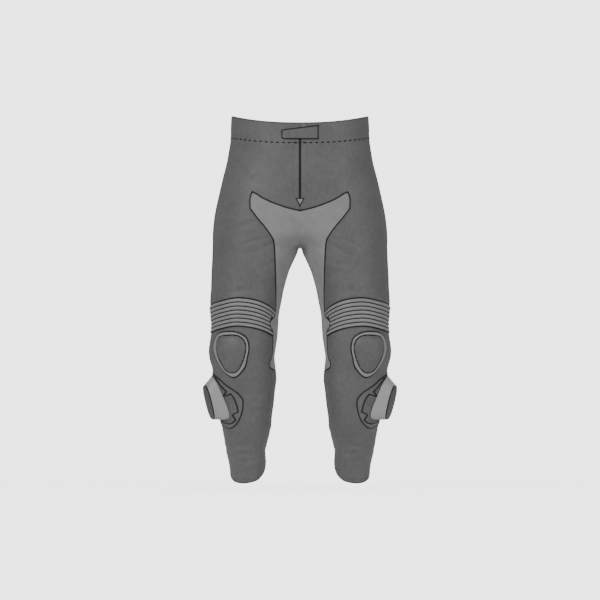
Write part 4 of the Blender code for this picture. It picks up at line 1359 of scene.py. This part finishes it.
def make_ribs(leg):
    grid = rib_grid(RIB_COUNT * RIB_ROWS + 1, RIB_COLUMNS)
    rows, columns = grid.shape[:2]
    points = grid.reshape(-1, 2)
    places = on_leg(points[:, 0], points[:, 1])
    normals = way_out(places)
    square = places.reshape(rows, columns, 3)
    rim = np.concatenate([square[0], square[1:, -1], square[-1, ::-1][1:], square[1:-1, 0][::-1]])
    edge = border_clearance(places, rim)
    number = np.arange(rows * columns).reshape(rows, columns)
    corners = np.stack([number[:-1, :-1], number[1:, :-1], number[1:, 1:], number[:-1, 1:]], axis=-1)
    faces = corners.reshape(-1, 4)
    a, b, c = (places[faces[:, i]] for i in range(3))
    if (np.cross(b - a, c - a) * normals[faces[:, 0]]).sum() < 0:
        faces = faces[:, ::-1]
    slack = creased(points, leg) * RIB_SLACK
    share = np.clip(1 - edge / ROLL_REACH, 0, 1)
    outer = places + normals * (slack - ROLL_DEPTH * (1 - np.sqrt(1 - share * share)))[:, None]
    inner = places - normals * LEATHER
    wall = border_edges(faces)
    all_faces = both_sides(faces, len(points), wall)
    slots = [0] * len(faces) + [1] * len(faces) + [0] * len(wall)
    if leg == "right":
        all_faces = [face[::-1] for face in all_faces]
    corners = np.concatenate([outer, inner]) * side_of(leg)
    piece = make_mesh_object("knee_ribs_" + leg, corners, all_faces, [light_hide, flesh_side], slots)
    down = np.repeat(np.linspace(0, RIB_COUNT, rows), columns)
    round_ends = np.sqrt(np.clip(edge_from_sides(square) / RIB_FADE, 0, 1)).ravel()
    set_attribute(piece, "phase", np.concatenate([down, down]))
    set_attribute(piece, "rise", np.concatenate([round_ends, np.zeros(len(points))]))
    set_attribute(piece, "edge", np.concatenate([edge, edge]))
    set_attribute(piece, "out", np.concatenate([normals, normals]) * side_of(leg), "FLOAT_VECTOR")
    set_map(piece, np.tile(flat(points), (2, 1)))
    grow(piece, raise_ribs, {})
    finish_piece(piece, "rib_leather", "knee_stretch_" + leg)


for leg in LEGS:
    make_ribs(leg)

# %% [markdown]
# ## The knee cup and its ring
#
# Foam under the leather makes the knee cup stand out. Its ring is a strip of light leather, turned
# over a cord and sewn down along both edges, so that it stands up as a round band. The ring comes
# first, because the cup's edge tucks in under it.

# %% Ring and cup outlines
RING_OUTER = (
    (183, -534), (154, -541), (137, -562), (137, -592), (148, -632),
    (174, -655), (203, -637), (222, -604), (228.5, -570), (216, -541),
)
RING_INNER = (
    (183, -543.5), (159, -548), (145.5, -565), (144.5, -584), (150, -608), (163, -635),
    (180, -643), (198, -633), (213, -606), (220, -575), (213, -550),
)
LAYER_GAP = 0.3
RING_HEIGHT = 2.8
RING_STEPS = 132
RING_ARCH = 10
RING_FLANGE = 0.2
FLANGE_RISE = 0.6
# The flange rises over this share of its width
FLANGE_SHOULDER = 0.7
RING_LENGTH = 330
LOOP_STEP = 2.0
# How far the underside of a piece sewn on top sinks into the leather below
SINK = 1.2


def even_loop(points, count):
    """A closed curve's points, evenly spaced from its first one."""
    loop = curve(points, LOOP_STEP, closed=True)
    loop = np.concatenate([loop, loop[:1]])
    run = np.concatenate([[0], np.cumsum(np.linalg.norm(np.diff(flat(loop), axis=0), axis=1))])
    at = np.linspace(0, run[-1], count, endpoint=False)
    return np.stack([np.interp(at, run, loop[:, 0]), np.interp(at, run, loop[:, 1])], axis=1)


def on_form(points, leg, lift):
    """Points of the form, raised by a height above the creased leather."""
    places = on_leg(points[:, 0], points[:, 1])
    normals = way_out(places)
    return places + normals * (np.asarray(lift) + creased(points, leg))[:, None], normals


def closed_tube_faces(rings, around):
    faces = []
    for ring in range(rings):
        for step in range(around):
            after = (step + 1) % around
            first, second = ring * around, ((ring + 1) % rings) * around
            faces.append((first + step, first + after, second + after, second + step))
    return faces


def outward_faces(corners, faces):
    """The same faces, all turned over if the closed shape they make is inside out."""
    volume = 0.0
    for face in faces:
        a = corners[face[0]]
        for second, third in zip(face[1:-1], face[2:]):
            volume += float(np.dot(a, np.cross(corners[second], corners[third])))
    return faces if volume > 0 else [tuple(face[::-1]) for face in faces]


print("ring points:", RING_STEPS)

# %% [markdown]
# The ring is lofted round the cup: a flat flange on either side where it is sewn down, darkened
# with painted shade, and a round light band between them.

# %% The ring


def make_ring(leg):
    outer = even_loop(front_line(RING_OUTER), RING_STEPS)
    inner = even_loop(front_line(RING_INNER), RING_STEPS)
    shares = [(1 - math.cos(math.pi * step / RING_ARCH)) / 2 for step in range(RING_ARCH + 1)]
    low = LAYER_GAP + FLANGE_RISE
    rise = RING_HEIGHT - FLANGE_RISE
    arch = [low + rise * math.sin(math.pi * share) ** RIB_ROUNDNESS for share in shares]
    shoulder = FLANGE_SHOULDER * RING_FLANGE
    rows = [(-RING_FLANGE, LAYER_GAP), (-shoulder, low)] + list(zip(shares, arch))
    rows += [(1 + shoulder, low), (1 + RING_FLANGE, LAYER_GAP), (0.5, LAYER_GAP - SINK)]
    corners = []
    edge = []
    layout = []
    width = np.linalg.norm(flat(outer) - flat(inner), axis=1)
    along = np.linspace(0, RING_LENGTH, RING_STEPS)
    for share, height in rows:
        points = outer + (inner - outer) * share
        corners.append(on_form(points, leg, height)[0])
        # Distance from the ring's nearer side, so painted shade darkens the flanges
        edge.append(width * min(share, 1 - share))
        layout.append(np.stack([width * share, along], axis=1))
    corners = np.concatenate(corners) * side_of(leg)
    faces = outward_faces(corners, closed_tube_faces(len(rows), RING_STEPS))
    piece = make_mesh_object("knee_ring_" + leg + "_piping", corners, faces, [piping_hide])
    set_attribute(piece, "edge", np.concatenate(edge))
    set_map(piece, np.concatenate(layout))
    finish_piece(piece, "piping", "knee_ring_" + leg)


for leg in LEGS:
    make_ring(leg)

# %% [markdown]
# The cup is padded, so cloth simulation swells it. It starts as a low dome, pressure blows it up,
# and no point may move more than a few millimetres or sink into the leg.

# %% The cup
CUP_EDGE = 1.6
CUP_DOME = 4.0
# How far in from its edge the dome has its full height
CUP_SLOPE = 26.0
CUP_POINTS = 96
CUP_PITCH = 4.0
CUP_ROWS = (1.5, 3.0)
# The cup runs in under the ring, which covers its edge
CUP_REACH = 1.01
CUP_VOXEL = 3.0
CUP_PRESSURE = 4.0
CUP_FRAMES = 20
CUP_CAP = 5.0


def read_points(mesh):
    places = np.empty(len(mesh.vertices) * 3, np.float32)
    mesh.vertices.foreach_get("co", places)
    return places.reshape(-1, 3).astype(float)


def swell(piece):
    """Blow the pad up, and carry over only a capped outward part of each point's move."""
    before = read_points(piece.data)
    cloth = piece.modifiers.new("pad", "CLOTH")
    cloth.settings.use_pressure = True
    cloth.settings.uniform_pressure_force = CUP_PRESSURE
    cloth.settings.effector_weights.gravity = 0
    cloth.point_cache.frame_end = CUP_FRAMES
    for frame_number in range(1, CUP_FRAMES + 1):
        bpy.context.scene.frame_set(frame_number)
    graph = bpy.context.evaluated_depsgraph_get()
    after = read_points(piece.evaluated_get(graph).data)
    piece.modifiers.remove(cloth)
    bpy.context.scene.frame_set(1)
    normals = way_out(before / MM * [1 if before[:, 0].mean() > 0 else -1, 1, 1])
    if before[:, 0].mean() < 0:
        normals = normals * [-1, 1, 1]
    outward = ((after - before) * normals).sum(axis=1)
    outward = np.clip(outward, 0, CUP_CAP * MM)
    piece.data.vertices.foreach_set("co", (before + normals * outward[:, None]).astype(np.float32).ravel())
    piece.data.update()
    print(piece.name, "swells by up to", round(float(outward.max()) / MM, 2), "mm")


def make_cup(leg):
    loop = even_loop(front_line(RING_INNER), CUP_POINTS)
    centre = loop.mean(axis=0)
    loop = centre + (loop - centre) * CUP_REACH
    points, faces = fill(loop, CUP_PITCH, rows=CUP_ROWS)
    border = on_leg(loop[:, 0], loop[:, 1])
    places = on_leg(points[:, 0], points[:, 1])
    reach = border_clearance(places, border)
    dome = CUP_DOME * np.sin(np.clip(reach / CUP_SLOPE, 0, 1) * math.pi / 2)
    outer, normals = on_form(points, leg, LAYER_GAP + CUP_EDGE + dome)
    inner = on_form(points, leg, LAYER_GAP - SINK)[0]
    faces = facing_out(faces, places, normals)
    corners = np.concatenate([outer, inner]) * side_of(leg)
    all_faces = outward_faces(corners, both_sides(faces, len(points), border_edges(faces)))
    piece = make_mesh_object("knee_cup_" + leg + "_pad", corners, all_faces, [cowhide])
    remesh = piece.modifiers.new("even", "REMESH")
    remesh.mode = "VOXEL"
    remesh.voxel_size = CUP_VOXEL * MM
    bake_modifiers(piece)
    swell(piece)
    piece.modifiers.new("fine", "SUBSURF").levels = 1
    bake_modifiers(piece)
    mm_points = read_points(piece.data) / MM * side_of(leg)
    set_attribute(piece, "edge", border_clearance(mm_points, border))
    if not piece.data.materials:
        piece.data.materials.append(cowhide)
    finish_piece(piece, "leather", "knee_cup_" + leg)


for leg in LEGS:
    make_cup(leg)

# %% [markdown]
# ## The knee slider and what carries it
#
# A teardrop of leather is sewn to the outside of each shin. On it is a patch of hook tape with
# notched edges, and the slider is pressed onto that. The slider is a moulded block: its foot
# follows the leg, its walls run straight out, and a flat darker face is fixed on its end.

# %% Patch outlines
BASE_FRONT = (
    (215, -657), (193, -676), (167, -693.5), (152, -710), (149, -724), (152, -747),
    (161, -771), (174, -786.5), (187, -792), (200, -787),
)
BASE_BEHIND = ((-186, -774), (-195, -752), (-203, -722), (-203, -690), (-196, -660), (-184, -641))
HOOK_FRONT = (
    (220, -657), (206, -677), (191, -692.5), (199.5, -703.5), (181.5, -697), (172, -710), (165, -728),
    (161, -747), (176, -754.5), (167, -768.5), (177, -777), (187, -780), (198, -777),
)
HOOK_BEHIND = ((-184, -766), (-192, -746), (-199, -718), (-199, -690), (-192, -664), (-179, -648))
PATCH = 1.6
base_line = curve(front_line(BASE_FRONT) + list(BASE_BEHIND), FINE_STEP, closed=True)
hook_line = straight(front_line(HOOK_FRONT) + list(HOOK_BEHIND), FINE_STEP)
OUTLINES["slider_base"] = outline_of((base_line, DARK))
OUTLINES["slider_hook"] = outline_of((hook_line, DARK))
print("patch outline points:", len(base_line), len(hook_line))

# %% [markdown]
# Hook tape is a dull woven nylon. Fine specks of painted shade stand for the gaps between its
# hooks, which keep it from reading as leather.

# %% Hook tape


def hook_tape_material():
    material, tree, shader = start_material("nylon_hook_tape", 0.75)
    place = add(tree, "ShaderNodeTexCoord").outputs["Object"]
    # Darker away from each speck's middle: painted shade in the gaps between hooks
    hook_gap_shade = add(tree, "ShaderNodeTexVoronoi", {"Vector": place, "Scale": 700.0})
    tint = mix(tree, ramp(tree, hook_gap_shade.outputs["Distance"], 0.0, 0.7), linear("#7e7e7e"), linear("#707070"))
    # Painted shade darkens the tape along its edge
    tree.links.new(painted_edge_shade(tree, tint), shader.inputs["Base Color"])
    return material


hook_tape = hook_tape_material()
print("hook tape made")

# %% [markdown]
# Each patch is a shell like the panels, raised by the layers that lie under it. Its edge is cut
# raw, with painted shade along it, so it reads as a line, as the seams do.

# %% The two patches
BASE_TOP = LAYER_GAP + PATCH
HOOK_TOP = BASE_TOP + LAYER_GAP + PATCH
# How far each patch presses into what it is sewn to
PATCH_SINK = 0.6
PATCH_PITCH = 4.0


def make_patch(name, low, high, material, slot_name, leg):
    parts = shell(name + "_" + leg, OUTLINES[name], leg, [material, flesh_side], low, high, PATCH_PITCH)
    parts["edge"] = parts["edge"] * LONE_EDGE
    finish_shell(parts, slot_name)


for leg in LEGS:
    make_patch("slider_base", LAYER_GAP - PATCH_SINK, BASE_TOP, patch_hide, "leather", leg)
    make_patch("slider_hook", BASE_TOP - PATCH_SINK, HOOK_TOP, hook_tape, "hook_tape", leg)

# %% [markdown]
# A rider's slider is about 96 mm long and stands 27 mm off the leg, leaning a little forward
# and tipped down, so that its face meets the road flat.

# %% Slider sizes
PUCK_ANGLE = -164.0
PUCK_HEIGHT = -715.0
PUCK_LEAN = 0.3
PUCK_FOOT_HEIGHT = -709.0
PUCK_FOOT_ANGLE = -161.0
PUCK_FOOT_HALF_ANGLE = 26.0
PUCK_FOOT_HALF_HEIGHT = 57.0
PUCK_FOOT_SQUARENESS = 4.0
PUCK_DEPTH = 27.0
PUCK_TURN = 13.0
PUCK_DROOP = 14.0
PUCK_HALF_WIDTH = 37.0
PUCK_HALF_LENGTH = 48.0
PUCK_SQUARENESS = 2.5
FACE_THICKNESS = 2.6
PUCK_STEPS = 96
# How far a turn of one degree moves the foot's edge, in millimetres
FOOT_DEGREE = 1.6
# Each ring's lift above the hook tape, step in and distance from an edge for the painted shade line
FOOT_RINGS = ((0.3, 1.6, 0.0), (0.6, 0.5, 0.8), (1.8, 0.0, 2.4))
# The same for the block's end, with the lift beyond it
END_RINGS = ((-1.2, 0.0, 2.2), (-0.5, 0.25, 1.4), (-0.1, 0.8, 0.6), (0.0, 1.6, 0.0), (-0.8, 2.2, 0.0))
# The same for the face, with the lift beyond its own rim
FACE_RINGS = ((-3.2, 2.2, 0.0), (-1.6, 1.2, 0.8), (-0.8, 1.5, 1.4), (-0.2, 2.4, 2.4), (0.0, 3.8, 4.0))
WALL_SHARES = (0.15, 0.35, 0.55, 0.75, 0.9)
DOME_SCALES = (0.9, 0.75, 0.55, 0.35, 0.15)
DOME_RISE = 0.9
# A distance that is clear of every dark line
CLEAR = 9.0
print("slider length", 2 * PUCK_HALF_LENGTH, "mm")

# %% [markdown]
# Moulded plastic is faintly cloudy and finely pitted. It has painted shade only where the block
# and its face meet, and where the block's foot meets the patch.

# %% Slider materials


def moulded_plastic(name, light, dark, roughness, dark_until, clear_from):
    material, tree, shader = start_material(name, roughness)
    tint = mix(tree, noise(tree, scale=55.0, detail=5.0), linear(dark), linear(light))
    # Painted shade darkens the groove round the face and the foot's edge
    shaded = painted_edge_shade(tree, tint, dark_until, clear_from)
    tree.links.new(shaded, shader.inputs["Base Color"])
    raise_bumps(tree, shader, noise(tree, scale=900.0, detail=2.0), strength=0.25, distance=0.0004)
    return material


puck_plastic = moulded_plastic("moulded_slider_plastic", "#acacac", "#9d9d9d", 0.42, 0.9, 1.8)
face_plastic = moulded_plastic("hard_slider_face_plastic", "#303030", "#282828", 0.38, 1.0, 2.0)
print("slider plastics made")

# %% [markdown]
# The block starts on the curved leg and ends in a flat oval, ring by ring. Small steps in at its
# rim leave a groove round the face, which is the dark line that parts the two in the photo. The
# face is a plate of its own, faintly domed, so that light slides over it.

# %% Slider


def make_puck(leg):
    turn = math.radians(PUCK_TURN)
    droop = math.radians(PUCK_DROOP)
    level = np.array([math.cos(turn), -math.sin(turn), 0.0])
    outward = level * math.cos(droop) - np.array([0.0, 0.0, math.sin(droop)])
    up = np.array([0, 0, 1.0]) - outward * outward[2]
    up /= np.linalg.norm(up)
    ahead = np.cross(up, outward)
    ahead *= -np.sign(ahead[1])
    middle = on_leg(PUCK_ANGLE, PUCK_HEIGHT) + outward * PUCK_DEPTH
    turns = 2 * np.pi * np.arange(PUCK_STEPS) / PUCK_STEPS
    foot_swing = signed_power(np.cos(turns), 2 / PUCK_FOOT_SQUARENESS)
    foot_rise = signed_power(np.sin(turns), 2 / PUCK_FOOT_SQUARENESS)

    def foot_ring(lift, shrink):
        rise = foot_rise * (PUCK_FOOT_HALF_HEIGHT - shrink)
        swing = foot_swing * (PUCK_FOOT_HALF_ANGLE - shrink / FOOT_DEGREE)
        angles = PUCK_FOOT_ANGLE + swing - PUCK_LEAN * rise
        heights = PUCK_FOOT_HEIGHT + rise
        places = on_leg(angles, heights)
        return places + way_out(places) * lift

    def end_ring(depth, shrink, scale=1.0):
        around = np.arctan2(foot_rise, foot_swing)
        wide = (PUCK_HALF_WIDTH - shrink) * scale * signed_power(np.cos(around), 2 / PUCK_SQUARENESS)
        tall = (PUCK_HALF_LENGTH - shrink) * scale * signed_power(np.sin(around), 2 / PUCK_SQUARENESS)
        return middle + outward * depth + np.outer(wide, ahead) + np.outer(tall, up)

    feet = [foot_ring(HOOK_TOP + lift, step) for lift, step, _ in FOOT_RINGS]
    ends = [end_ring(lift, step) for lift, step, _ in END_RINGS]
    body = feet + [feet[-1] + (ends[0] - feet[-1]) * share for share in WALL_SHARES] + ends
    body_edge = [row[2] for row in FOOT_RINGS] + [CLEAR] * len(WALL_SHARES) + [row[2] for row in END_RINGS]
    face = [end_ring(FACE_THICKNESS + lift, step) for lift, step, _ in FACE_RINGS]
    for scale in DOME_SCALES:
        face.append(end_ring(FACE_THICKNESS + DOME_RISE * (1 - scale * scale), FACE_RINGS[-1][1], scale))
    face_edge = [row[2] for row in FACE_RINGS] + [CLEAR] * len(DOME_SCALES)
    for name, rings, edges, material, node, slot_name in (
        ("slider_" + leg + "_block", body, body_edge, puck_plastic, "slider_" + leg, "slider_plastic"),
        ("slider_face_" + leg + "_plate", face, face_edge, face_plastic, "slider_face_" + leg, "slider_face"),
    ):
        corners = np.concatenate(rings) * side_of(leg)
        count = len(rings)
        faces = closed_tube_faces(count, PUCK_STEPS)[:(count - 1) * PUCK_STEPS]
        faces.append(tuple(range(PUCK_STEPS))[::-1])
        faces.append(tuple(range((count - 1) * PUCK_STEPS, count * PUCK_STEPS)))
        faces = outward_faces(corners, faces)
        piece = make_mesh_object(name, corners, faces, [material])
        set_attribute(piece, "edge", np.repeat(edges, PUCK_STEPS))
        finish_piece(piece, slot_name, node)


for leg in LEGS:
    make_puck(leg)

# %% [markdown]
# ## Tab, fly and triangle
#
# The waistband closes in front under a small leather tab. Below it the fly's zip runs down the
# middle, and a sewn triangle stops it at its foot.

# %% Front pieces
FLY_TACK = ((-12.0, -181.0), (12.0, -181.0), (0.0, -203.5))
WAIST_TAB = ((-49.0, 0.0), (49.0, 12.5), (49.0, -25.5), (-44.0, -25.5), (-49.0, -22.0))
TAB_LIFT = 0.5
TAB_THICKNESS = 1.9
TACK_THICKNESS = 1.5
FRONT_PITCH = 3.0
FRONT_PIECES = (
    ("waist_tab", WAIST_TAB, (TAB_LIFT, TAB_LIFT + TAB_THICKNESS), cowhide, "leather", 3.0),
    ("fly_tack", FLY_TACK, (LAYER_GAP, LAYER_GAP + TACK_THICKNESS), light_hide, "rib_leather", 1.5),
)
for name, line, (low, high), material, slot_name, step in FRONT_PIECES:
    outline = outline_of((straight_front(list(line), step), DARK))
    parts = shell(name, outline, "left", [material, flesh_side], low, high, FRONT_PITCH, front=True)
    parts["edge"] = parts["edge"] * LONE_EDGE
    finish_shell(parts, slot_name)

# %% [markdown]
# ## Stitching
#
# Every panel is topstitched beside its seams with thick bonded thread, about three millimetres in.
# A tree sets small rounded stitches along each line. Real stitches are under a millimetre wide, and
# these are a little thicker so that they show. Along the waist the photo has long dark dashes, a
# heavy saddle stitch, and the same tree makes those with its own sizes.

# %% Trees that set small shapes along lines


def row_tree(name, primitive):
    """Instance one small shape at even steps along each line, lying along it."""
    tree, inputs, end = start_tree(name, (
        ("Pitch", "NodeSocketFloat", 0.004),
        ("Size", "NodeSocketVector", (0.003, 0.001, 0.001)),
        ("Finish", "NodeSocketMaterial", None),
    ))
    lines = add(tree, "GeometryNodeMeshToCurve", {"Mesh": inputs["Geometry"]})
    steps = add(tree, "GeometryNodeResampleCurve", {
        "Curve": lines.outputs[0], "Length": inputs["Pitch"],
    }, mode="LENGTH")
    tangent = add(tree, "GeometryNodeInputTangent").outputs[0]
    along = add(tree, "FunctionNodeAlignRotationToVector", {"Vector": tangent}, axis="X")
    upright = add(tree, "FunctionNodeAlignRotationToVector", {
        "Rotation": along.outputs[0], "Vector": named_attribute(tree, "out", "FLOAT_VECTOR"),
    }, axis="Z", pivot_axis="X")
    placed = add(tree, "GeometryNodeInstanceOnPoints", {
        "Points": steps.outputs[0], "Instance": primitive(tree), "Rotation": upright.outputs[0],
        "Scale": inputs["Size"],
    })
    finish_tree(tree, placed.outputs[0], inputs["Finish"], end)
    return tree


def bead(tree):
    return add(tree, "GeometryNodeMeshUVSphere", {"Segments": 6, "Rings": 4, "Radius": 0.5}).outputs[0]


def block(tree):
    return add(tree, "GeometryNodeMeshCube", {"Size": (1.0, 1.0, 1.0)}).outputs[0]


set_stitches = row_tree("set_stitches", bead)
set_teeth = row_tree("set_teeth", block)


def grow_rows(name, runs, leg, tree, pitch, size, material, slot_name):
    """One piece of small shapes from runs of points with their ways out."""
    places = np.concatenate([run for run, _ in runs]) * side_of(leg)
    normals = np.concatenate([way for _, way in runs]) * side_of(leg)
    edges = []
    first = 0
    for run, _ in runs:
        edges += [(first + i, first + i + 1) for i in range(len(run) - 1)]
        first += len(run)
    piece = make_mesh_object(name, places, [], [], edges=edges)
    set_attribute(piece, "out", normals, "FLOAT_VECTOR")
    grow(piece, tree, {"Pitch": pitch * MM, "Size": [part * MM for part in size], "Finish": material})
    finish_piece(piece, slot_name)


print("row trees ready")

# %% [markdown]
# Bonded nylon thread is smooth and only slightly shiny. It is darker than the hide on the legs,
# and near black at the waist, where it shows as a line of dashes.

# %% Thread


def plain_material(name, colour, roughness):
    material, _, shader = start_material(name, roughness)
    shader.inputs["Base Color"].default_value = linear(colour)
    return material


thread = plain_material("bonded_nylon_thread", "#454545", 0.55)
waist_thread = plain_material("waxed_saddle_thread", "#090909", 0.5)
print("threads made")

# %% [markdown]
# Each row of stitches is a line a fixed distance inside a panel's edge, raised with the creases
# below it. The hem has its own row, further in, where the leather is turned up.

# %% Lines beside the seams
STITCH_IN = 3.6
HEM_STITCH_IN = 9.0
STITCH_SIZE = (3.0, 0.85, 0.6)
STITCH_PITCH = 4.2
DASH_SIZE = (8.6, 4.2, 2.1)
DASH_PITCH = 15.3
DASH_LIFT = 0.3
SHORTEST_RUN = 4
HEM_ROW_POINTS = 160
# The hem's row stops this many degrees short of the zip
HEM_ROW_CLEAR = 3
# The row round the ring is the ring's outline, made this much larger
RING_ROW = 1.045
RING_ROW_POINTS = 90
# How far the thread lies above the leather
LINE_LIFT = 0.1


def runs_inside(outline, distance, kind, leg, lift):
    """Lines on the leather a distance inside the edges of one kind."""
    points, kinds = outline
    row, fits = inner_row(flat(points), distance)
    fits = fits & (kinds == kind)
    breaks = np.flatnonzero(~fits)
    start = breaks[0] + 1 if len(breaks) else 0
    order = (np.arange(len(points)) + start) % len(points)
    runs = []
    current = []
    for index in order:
        if fits[index]:
            current.append(row[index])
        if (not fits[index] or index == order[-1]) and current:
            if len(current) >= SHORTEST_RUN:
                runs.append(on_form(unflat(np.array(current)), leg, lift))
            current = []
    return runs


def hem_run(leg):
    """One row round the leg, from one side of the zip to the other."""
    reach = ZIP_HALF_WIDTH + HEM_ROW_CLEAR
    angles = np.linspace(ZIP_ANGLE + reach, ZIP_ANGLE + 360 - reach, HEM_ROW_POINTS)
    turned = (angles + 180) % 360 - 180
    heights = from_table(HEM, turned) + HEM_STITCH_IN
    return on_form(np.stack([turned, heights], axis=1), leg, LINE_LIFT)


ring_line = even_loop(front_line(RING_OUTER), RING_ROW_POINTS)
ring_centre = ring_line.mean(axis=0)
round_ring = ring_centre + (ring_line - ring_centre) * RING_ROW
round_ring = np.concatenate([round_ring, round_ring[:1]])
# outline, distance in from its edge, kind of edge and height above the leather
SEAM_ROWS = [(name, STITCH_IN, DARK, LINE_LIFT) for name in LEATHER_PANELS] + [
    ("front", 6.0, ROLLED, LINE_LIFT), ("calf", 4.0, ROLLED, LINE_LIFT),
    ("slider_base", 3.0, DARK, BASE_TOP + LINE_LIFT),
]
for leg in LEGS:
    runs = []
    for name, distance, kind, lift in SEAM_ROWS:
        runs += runs_inside(OUTLINES[name], distance, kind, leg, lift)
    runs += [hem_run(leg), on_form(round_ring, leg, LINE_LIFT)]
    grow_rows("stitches_" + leg, runs, leg, set_stitches, STITCH_PITCH, STITCH_SIZE, thread, "leather")
    dashes = [on_form(band_low[1:], leg, DASH_LIFT)]
    name = "waist_stitches_" + leg
    grow_rows(name, dashes, leg, set_stitches, DASH_PITCH, DASH_SIZE, waist_thread, "leather")

# %% [markdown]
# ## Zips
#
# The fly and both calves close with moulded zips on woven tape, all near black. Real teeth are about
# 1.2 mm apart. These are twice that, the finest that still shows. Two rows mesh in the middle.

# %% Tapes and teeth
zip_tape = stretch_cloth("woven_zip_tape", "#1b1b1b", "#121212", thread_mm=1.6)
zip_teeth = plain_material("moulded_zip_teeth", "#161616", 0.35)
TOOTH_PITCH = 2.6
TOOTH_SIZE = (1.3, 2.0, 1.2)
TAPE_TOP = -0.9
TAPE_PITCH = 2.6
FLY_TAPE_HALF_WIDTH = 2.6
FLY_TAPE_FOOT = -195.0
TOOTH_LIFT = 0.3
TOOTH_STEPS = 60
FLY_TEETH_FOOT = -190
CALF_TEETH_IN = 3
# Each row of teeth lies this far from its zip's middle, in millimetres and in degrees
FLY_TEETH_OUT = 0.8
CALF_TEETH_OUT = 0.65

half = FLY_TAPE_HALF_WIDTH
fly_tape = [(-half, NOTCH_TOP), (half, NOTCH_TOP), (half, FLY_TAPE_FOOT), (-half, FLY_TAPE_FOOT)]
fly_tape = outline_of((straight_front(fly_tape, TAPE_PITCH), QUIET))
tape_looks = [zip_tape, zip_tape]
tape_parts = shell("fly_zip", fly_tape, "left", tape_looks, -LEATHER, TAPE_TOP, TAPE_PITCH, front=True)
finish_shell(tape_parts, "zip")


def tooth_runs(lines):
    """Two lines of teeth, the second starting half a step later."""
    runs = []
    for number, line in enumerate(lines):
        step = np.linalg.norm(line[1] - line[0])
        line = line.copy()
        if number:
            line[0] += (line[1] - line[0]) * min(1.0, TOOTH_PITCH / 2 / step)
        normals = way_out(line)
        runs.append((line + normals * (TAPE_TOP + TOOTH_LIFT), normals))
    return runs


tooth_heights = np.linspace(NOTCH_TOP - 1, FLY_TEETH_FOOT, TOOTH_STEPS)
sides = (-FLY_TEETH_OUT, FLY_TEETH_OUT)
fly_runs = tooth_runs([on_front(np.full(TOOTH_STEPS, side), tooth_heights) for side in sides])
grow_rows("fly_teeth", fly_runs, "left", set_teeth, TOOTH_PITCH, TOOTH_SIZE, zip_teeth, "zip")

calf_tape = outline_of((zip_lines[0], QUIET), (zip_lines[1][::-1], QUIET), (zip_lines[0][:1], QUIET))
for leg in LEGS:
    name = "calf_zip_" + leg
    finish_shell(shell(name, calf_tape, leg, [zip_tape, zip_tape], -LEATHER, TAPE_TOP, TAPE_PITCH), "zip")
    zip_foot = float(from_table(HEM, ZIP_ANGLE))
    tooth_heights = np.linspace(ZIP_TOP - CALF_TEETH_IN, zip_foot + CALF_TEETH_IN, TOOTH_STEPS)
    middle = np.full(TOOTH_STEPS, ZIP_ANGLE)
    lines = [on_leg(middle + side, tooth_heights) for side in (-CALF_TEETH_OUT, CALF_TEETH_OUT)]
    slack = creased(np.stack([middle, tooth_heights], axis=1), leg)
    runs = [(line + way * slack[:, None], way) for line, way in tooth_runs(lines)]
    grow_rows("calf_teeth_" + leg, runs, leg, set_teeth, TOOTH_PITCH, TOOTH_SIZE, zip_teeth, "zip")

# %% [markdown]
# ## Hooks
#
# Hook tape is a field of stiff nylon hooks about a millimetre high. The tree scatters short stubs
# over the patch at a fixed seed, wider apart than real hooks, to give it its rough look.

# %% Hooks on the patch
HOOK_SPACING = 2.0
HOOK_HEIGHT = 1.0
# Bare edge left round the field of hooks
HOOK_MARGIN = 2.0
HOOK_PITCH = 5.0
HOOK_ROWS = (2.5,)
HOOK_SINK = 0.1
# Stubs tried to a square metre, before those nearer than the spacing are left out
HOOKS_TRIED = 400000.0
# Radii in metres at a stub's tip, which is wider as a hook's head is, and at its foot
HOOK_RADII = (0.00055, 0.00035)


def hooks_tree():
    tree, inputs, end = start_tree("scatter_hooks", (
        ("Spacing", "NodeSocketFloat", HOOK_SPACING * MM),
        ("Height", "NodeSocketFloat", HOOK_HEIGHT * MM),
        ("Finish", "NodeSocketMaterial", None),
    ))
    scatter = add(tree, "GeometryNodeDistributePointsOnFaces", {
        "Mesh": inputs["Geometry"], "Distance Min": inputs["Spacing"], "Density Max": HOOKS_TRIED, "Seed": 7,
    }, distribute_method="POISSON")
    stub = add(tree, "GeometryNodeMeshCone", {
        "Vertices": 5, "Radius Top": HOOK_RADII[0], "Radius Bottom": HOOK_RADII[1],
        "Depth": inputs["Height"],
    })
    placed = add(tree, "GeometryNodeInstanceOnPoints", {
        "Points": scatter.outputs["Points"], "Instance": stub.outputs[0],
        "Rotation": scatter.outputs["Rotation"],
    })
    finish_tree(tree, placed.outputs[0], inputs["Finish"], end)
    return tree


scatter_hooks = hooks_tree()
for leg in LEGS:
    points, faces = fill(hook_line, HOOK_PITCH, rows=HOOK_ROWS)
    places, normals = on_form(points, leg, HOOK_TOP - HOOK_SINK)
    reach = border_clearance(flat(points), flat(hook_line))
    faces = facing_out(faces, places, normals)
    faces = faces[reach[faces].min(axis=1) > HOOK_MARGIN]
    if leg == "right":
        faces = faces[:, ::-1]
    piece = make_mesh_object("slider_hooks_" + leg, places * side_of(leg), faces, [])
    grow(piece, scatter_hooks, {"Finish": hook_tape})
    finish_piece(piece, "hook_tape")
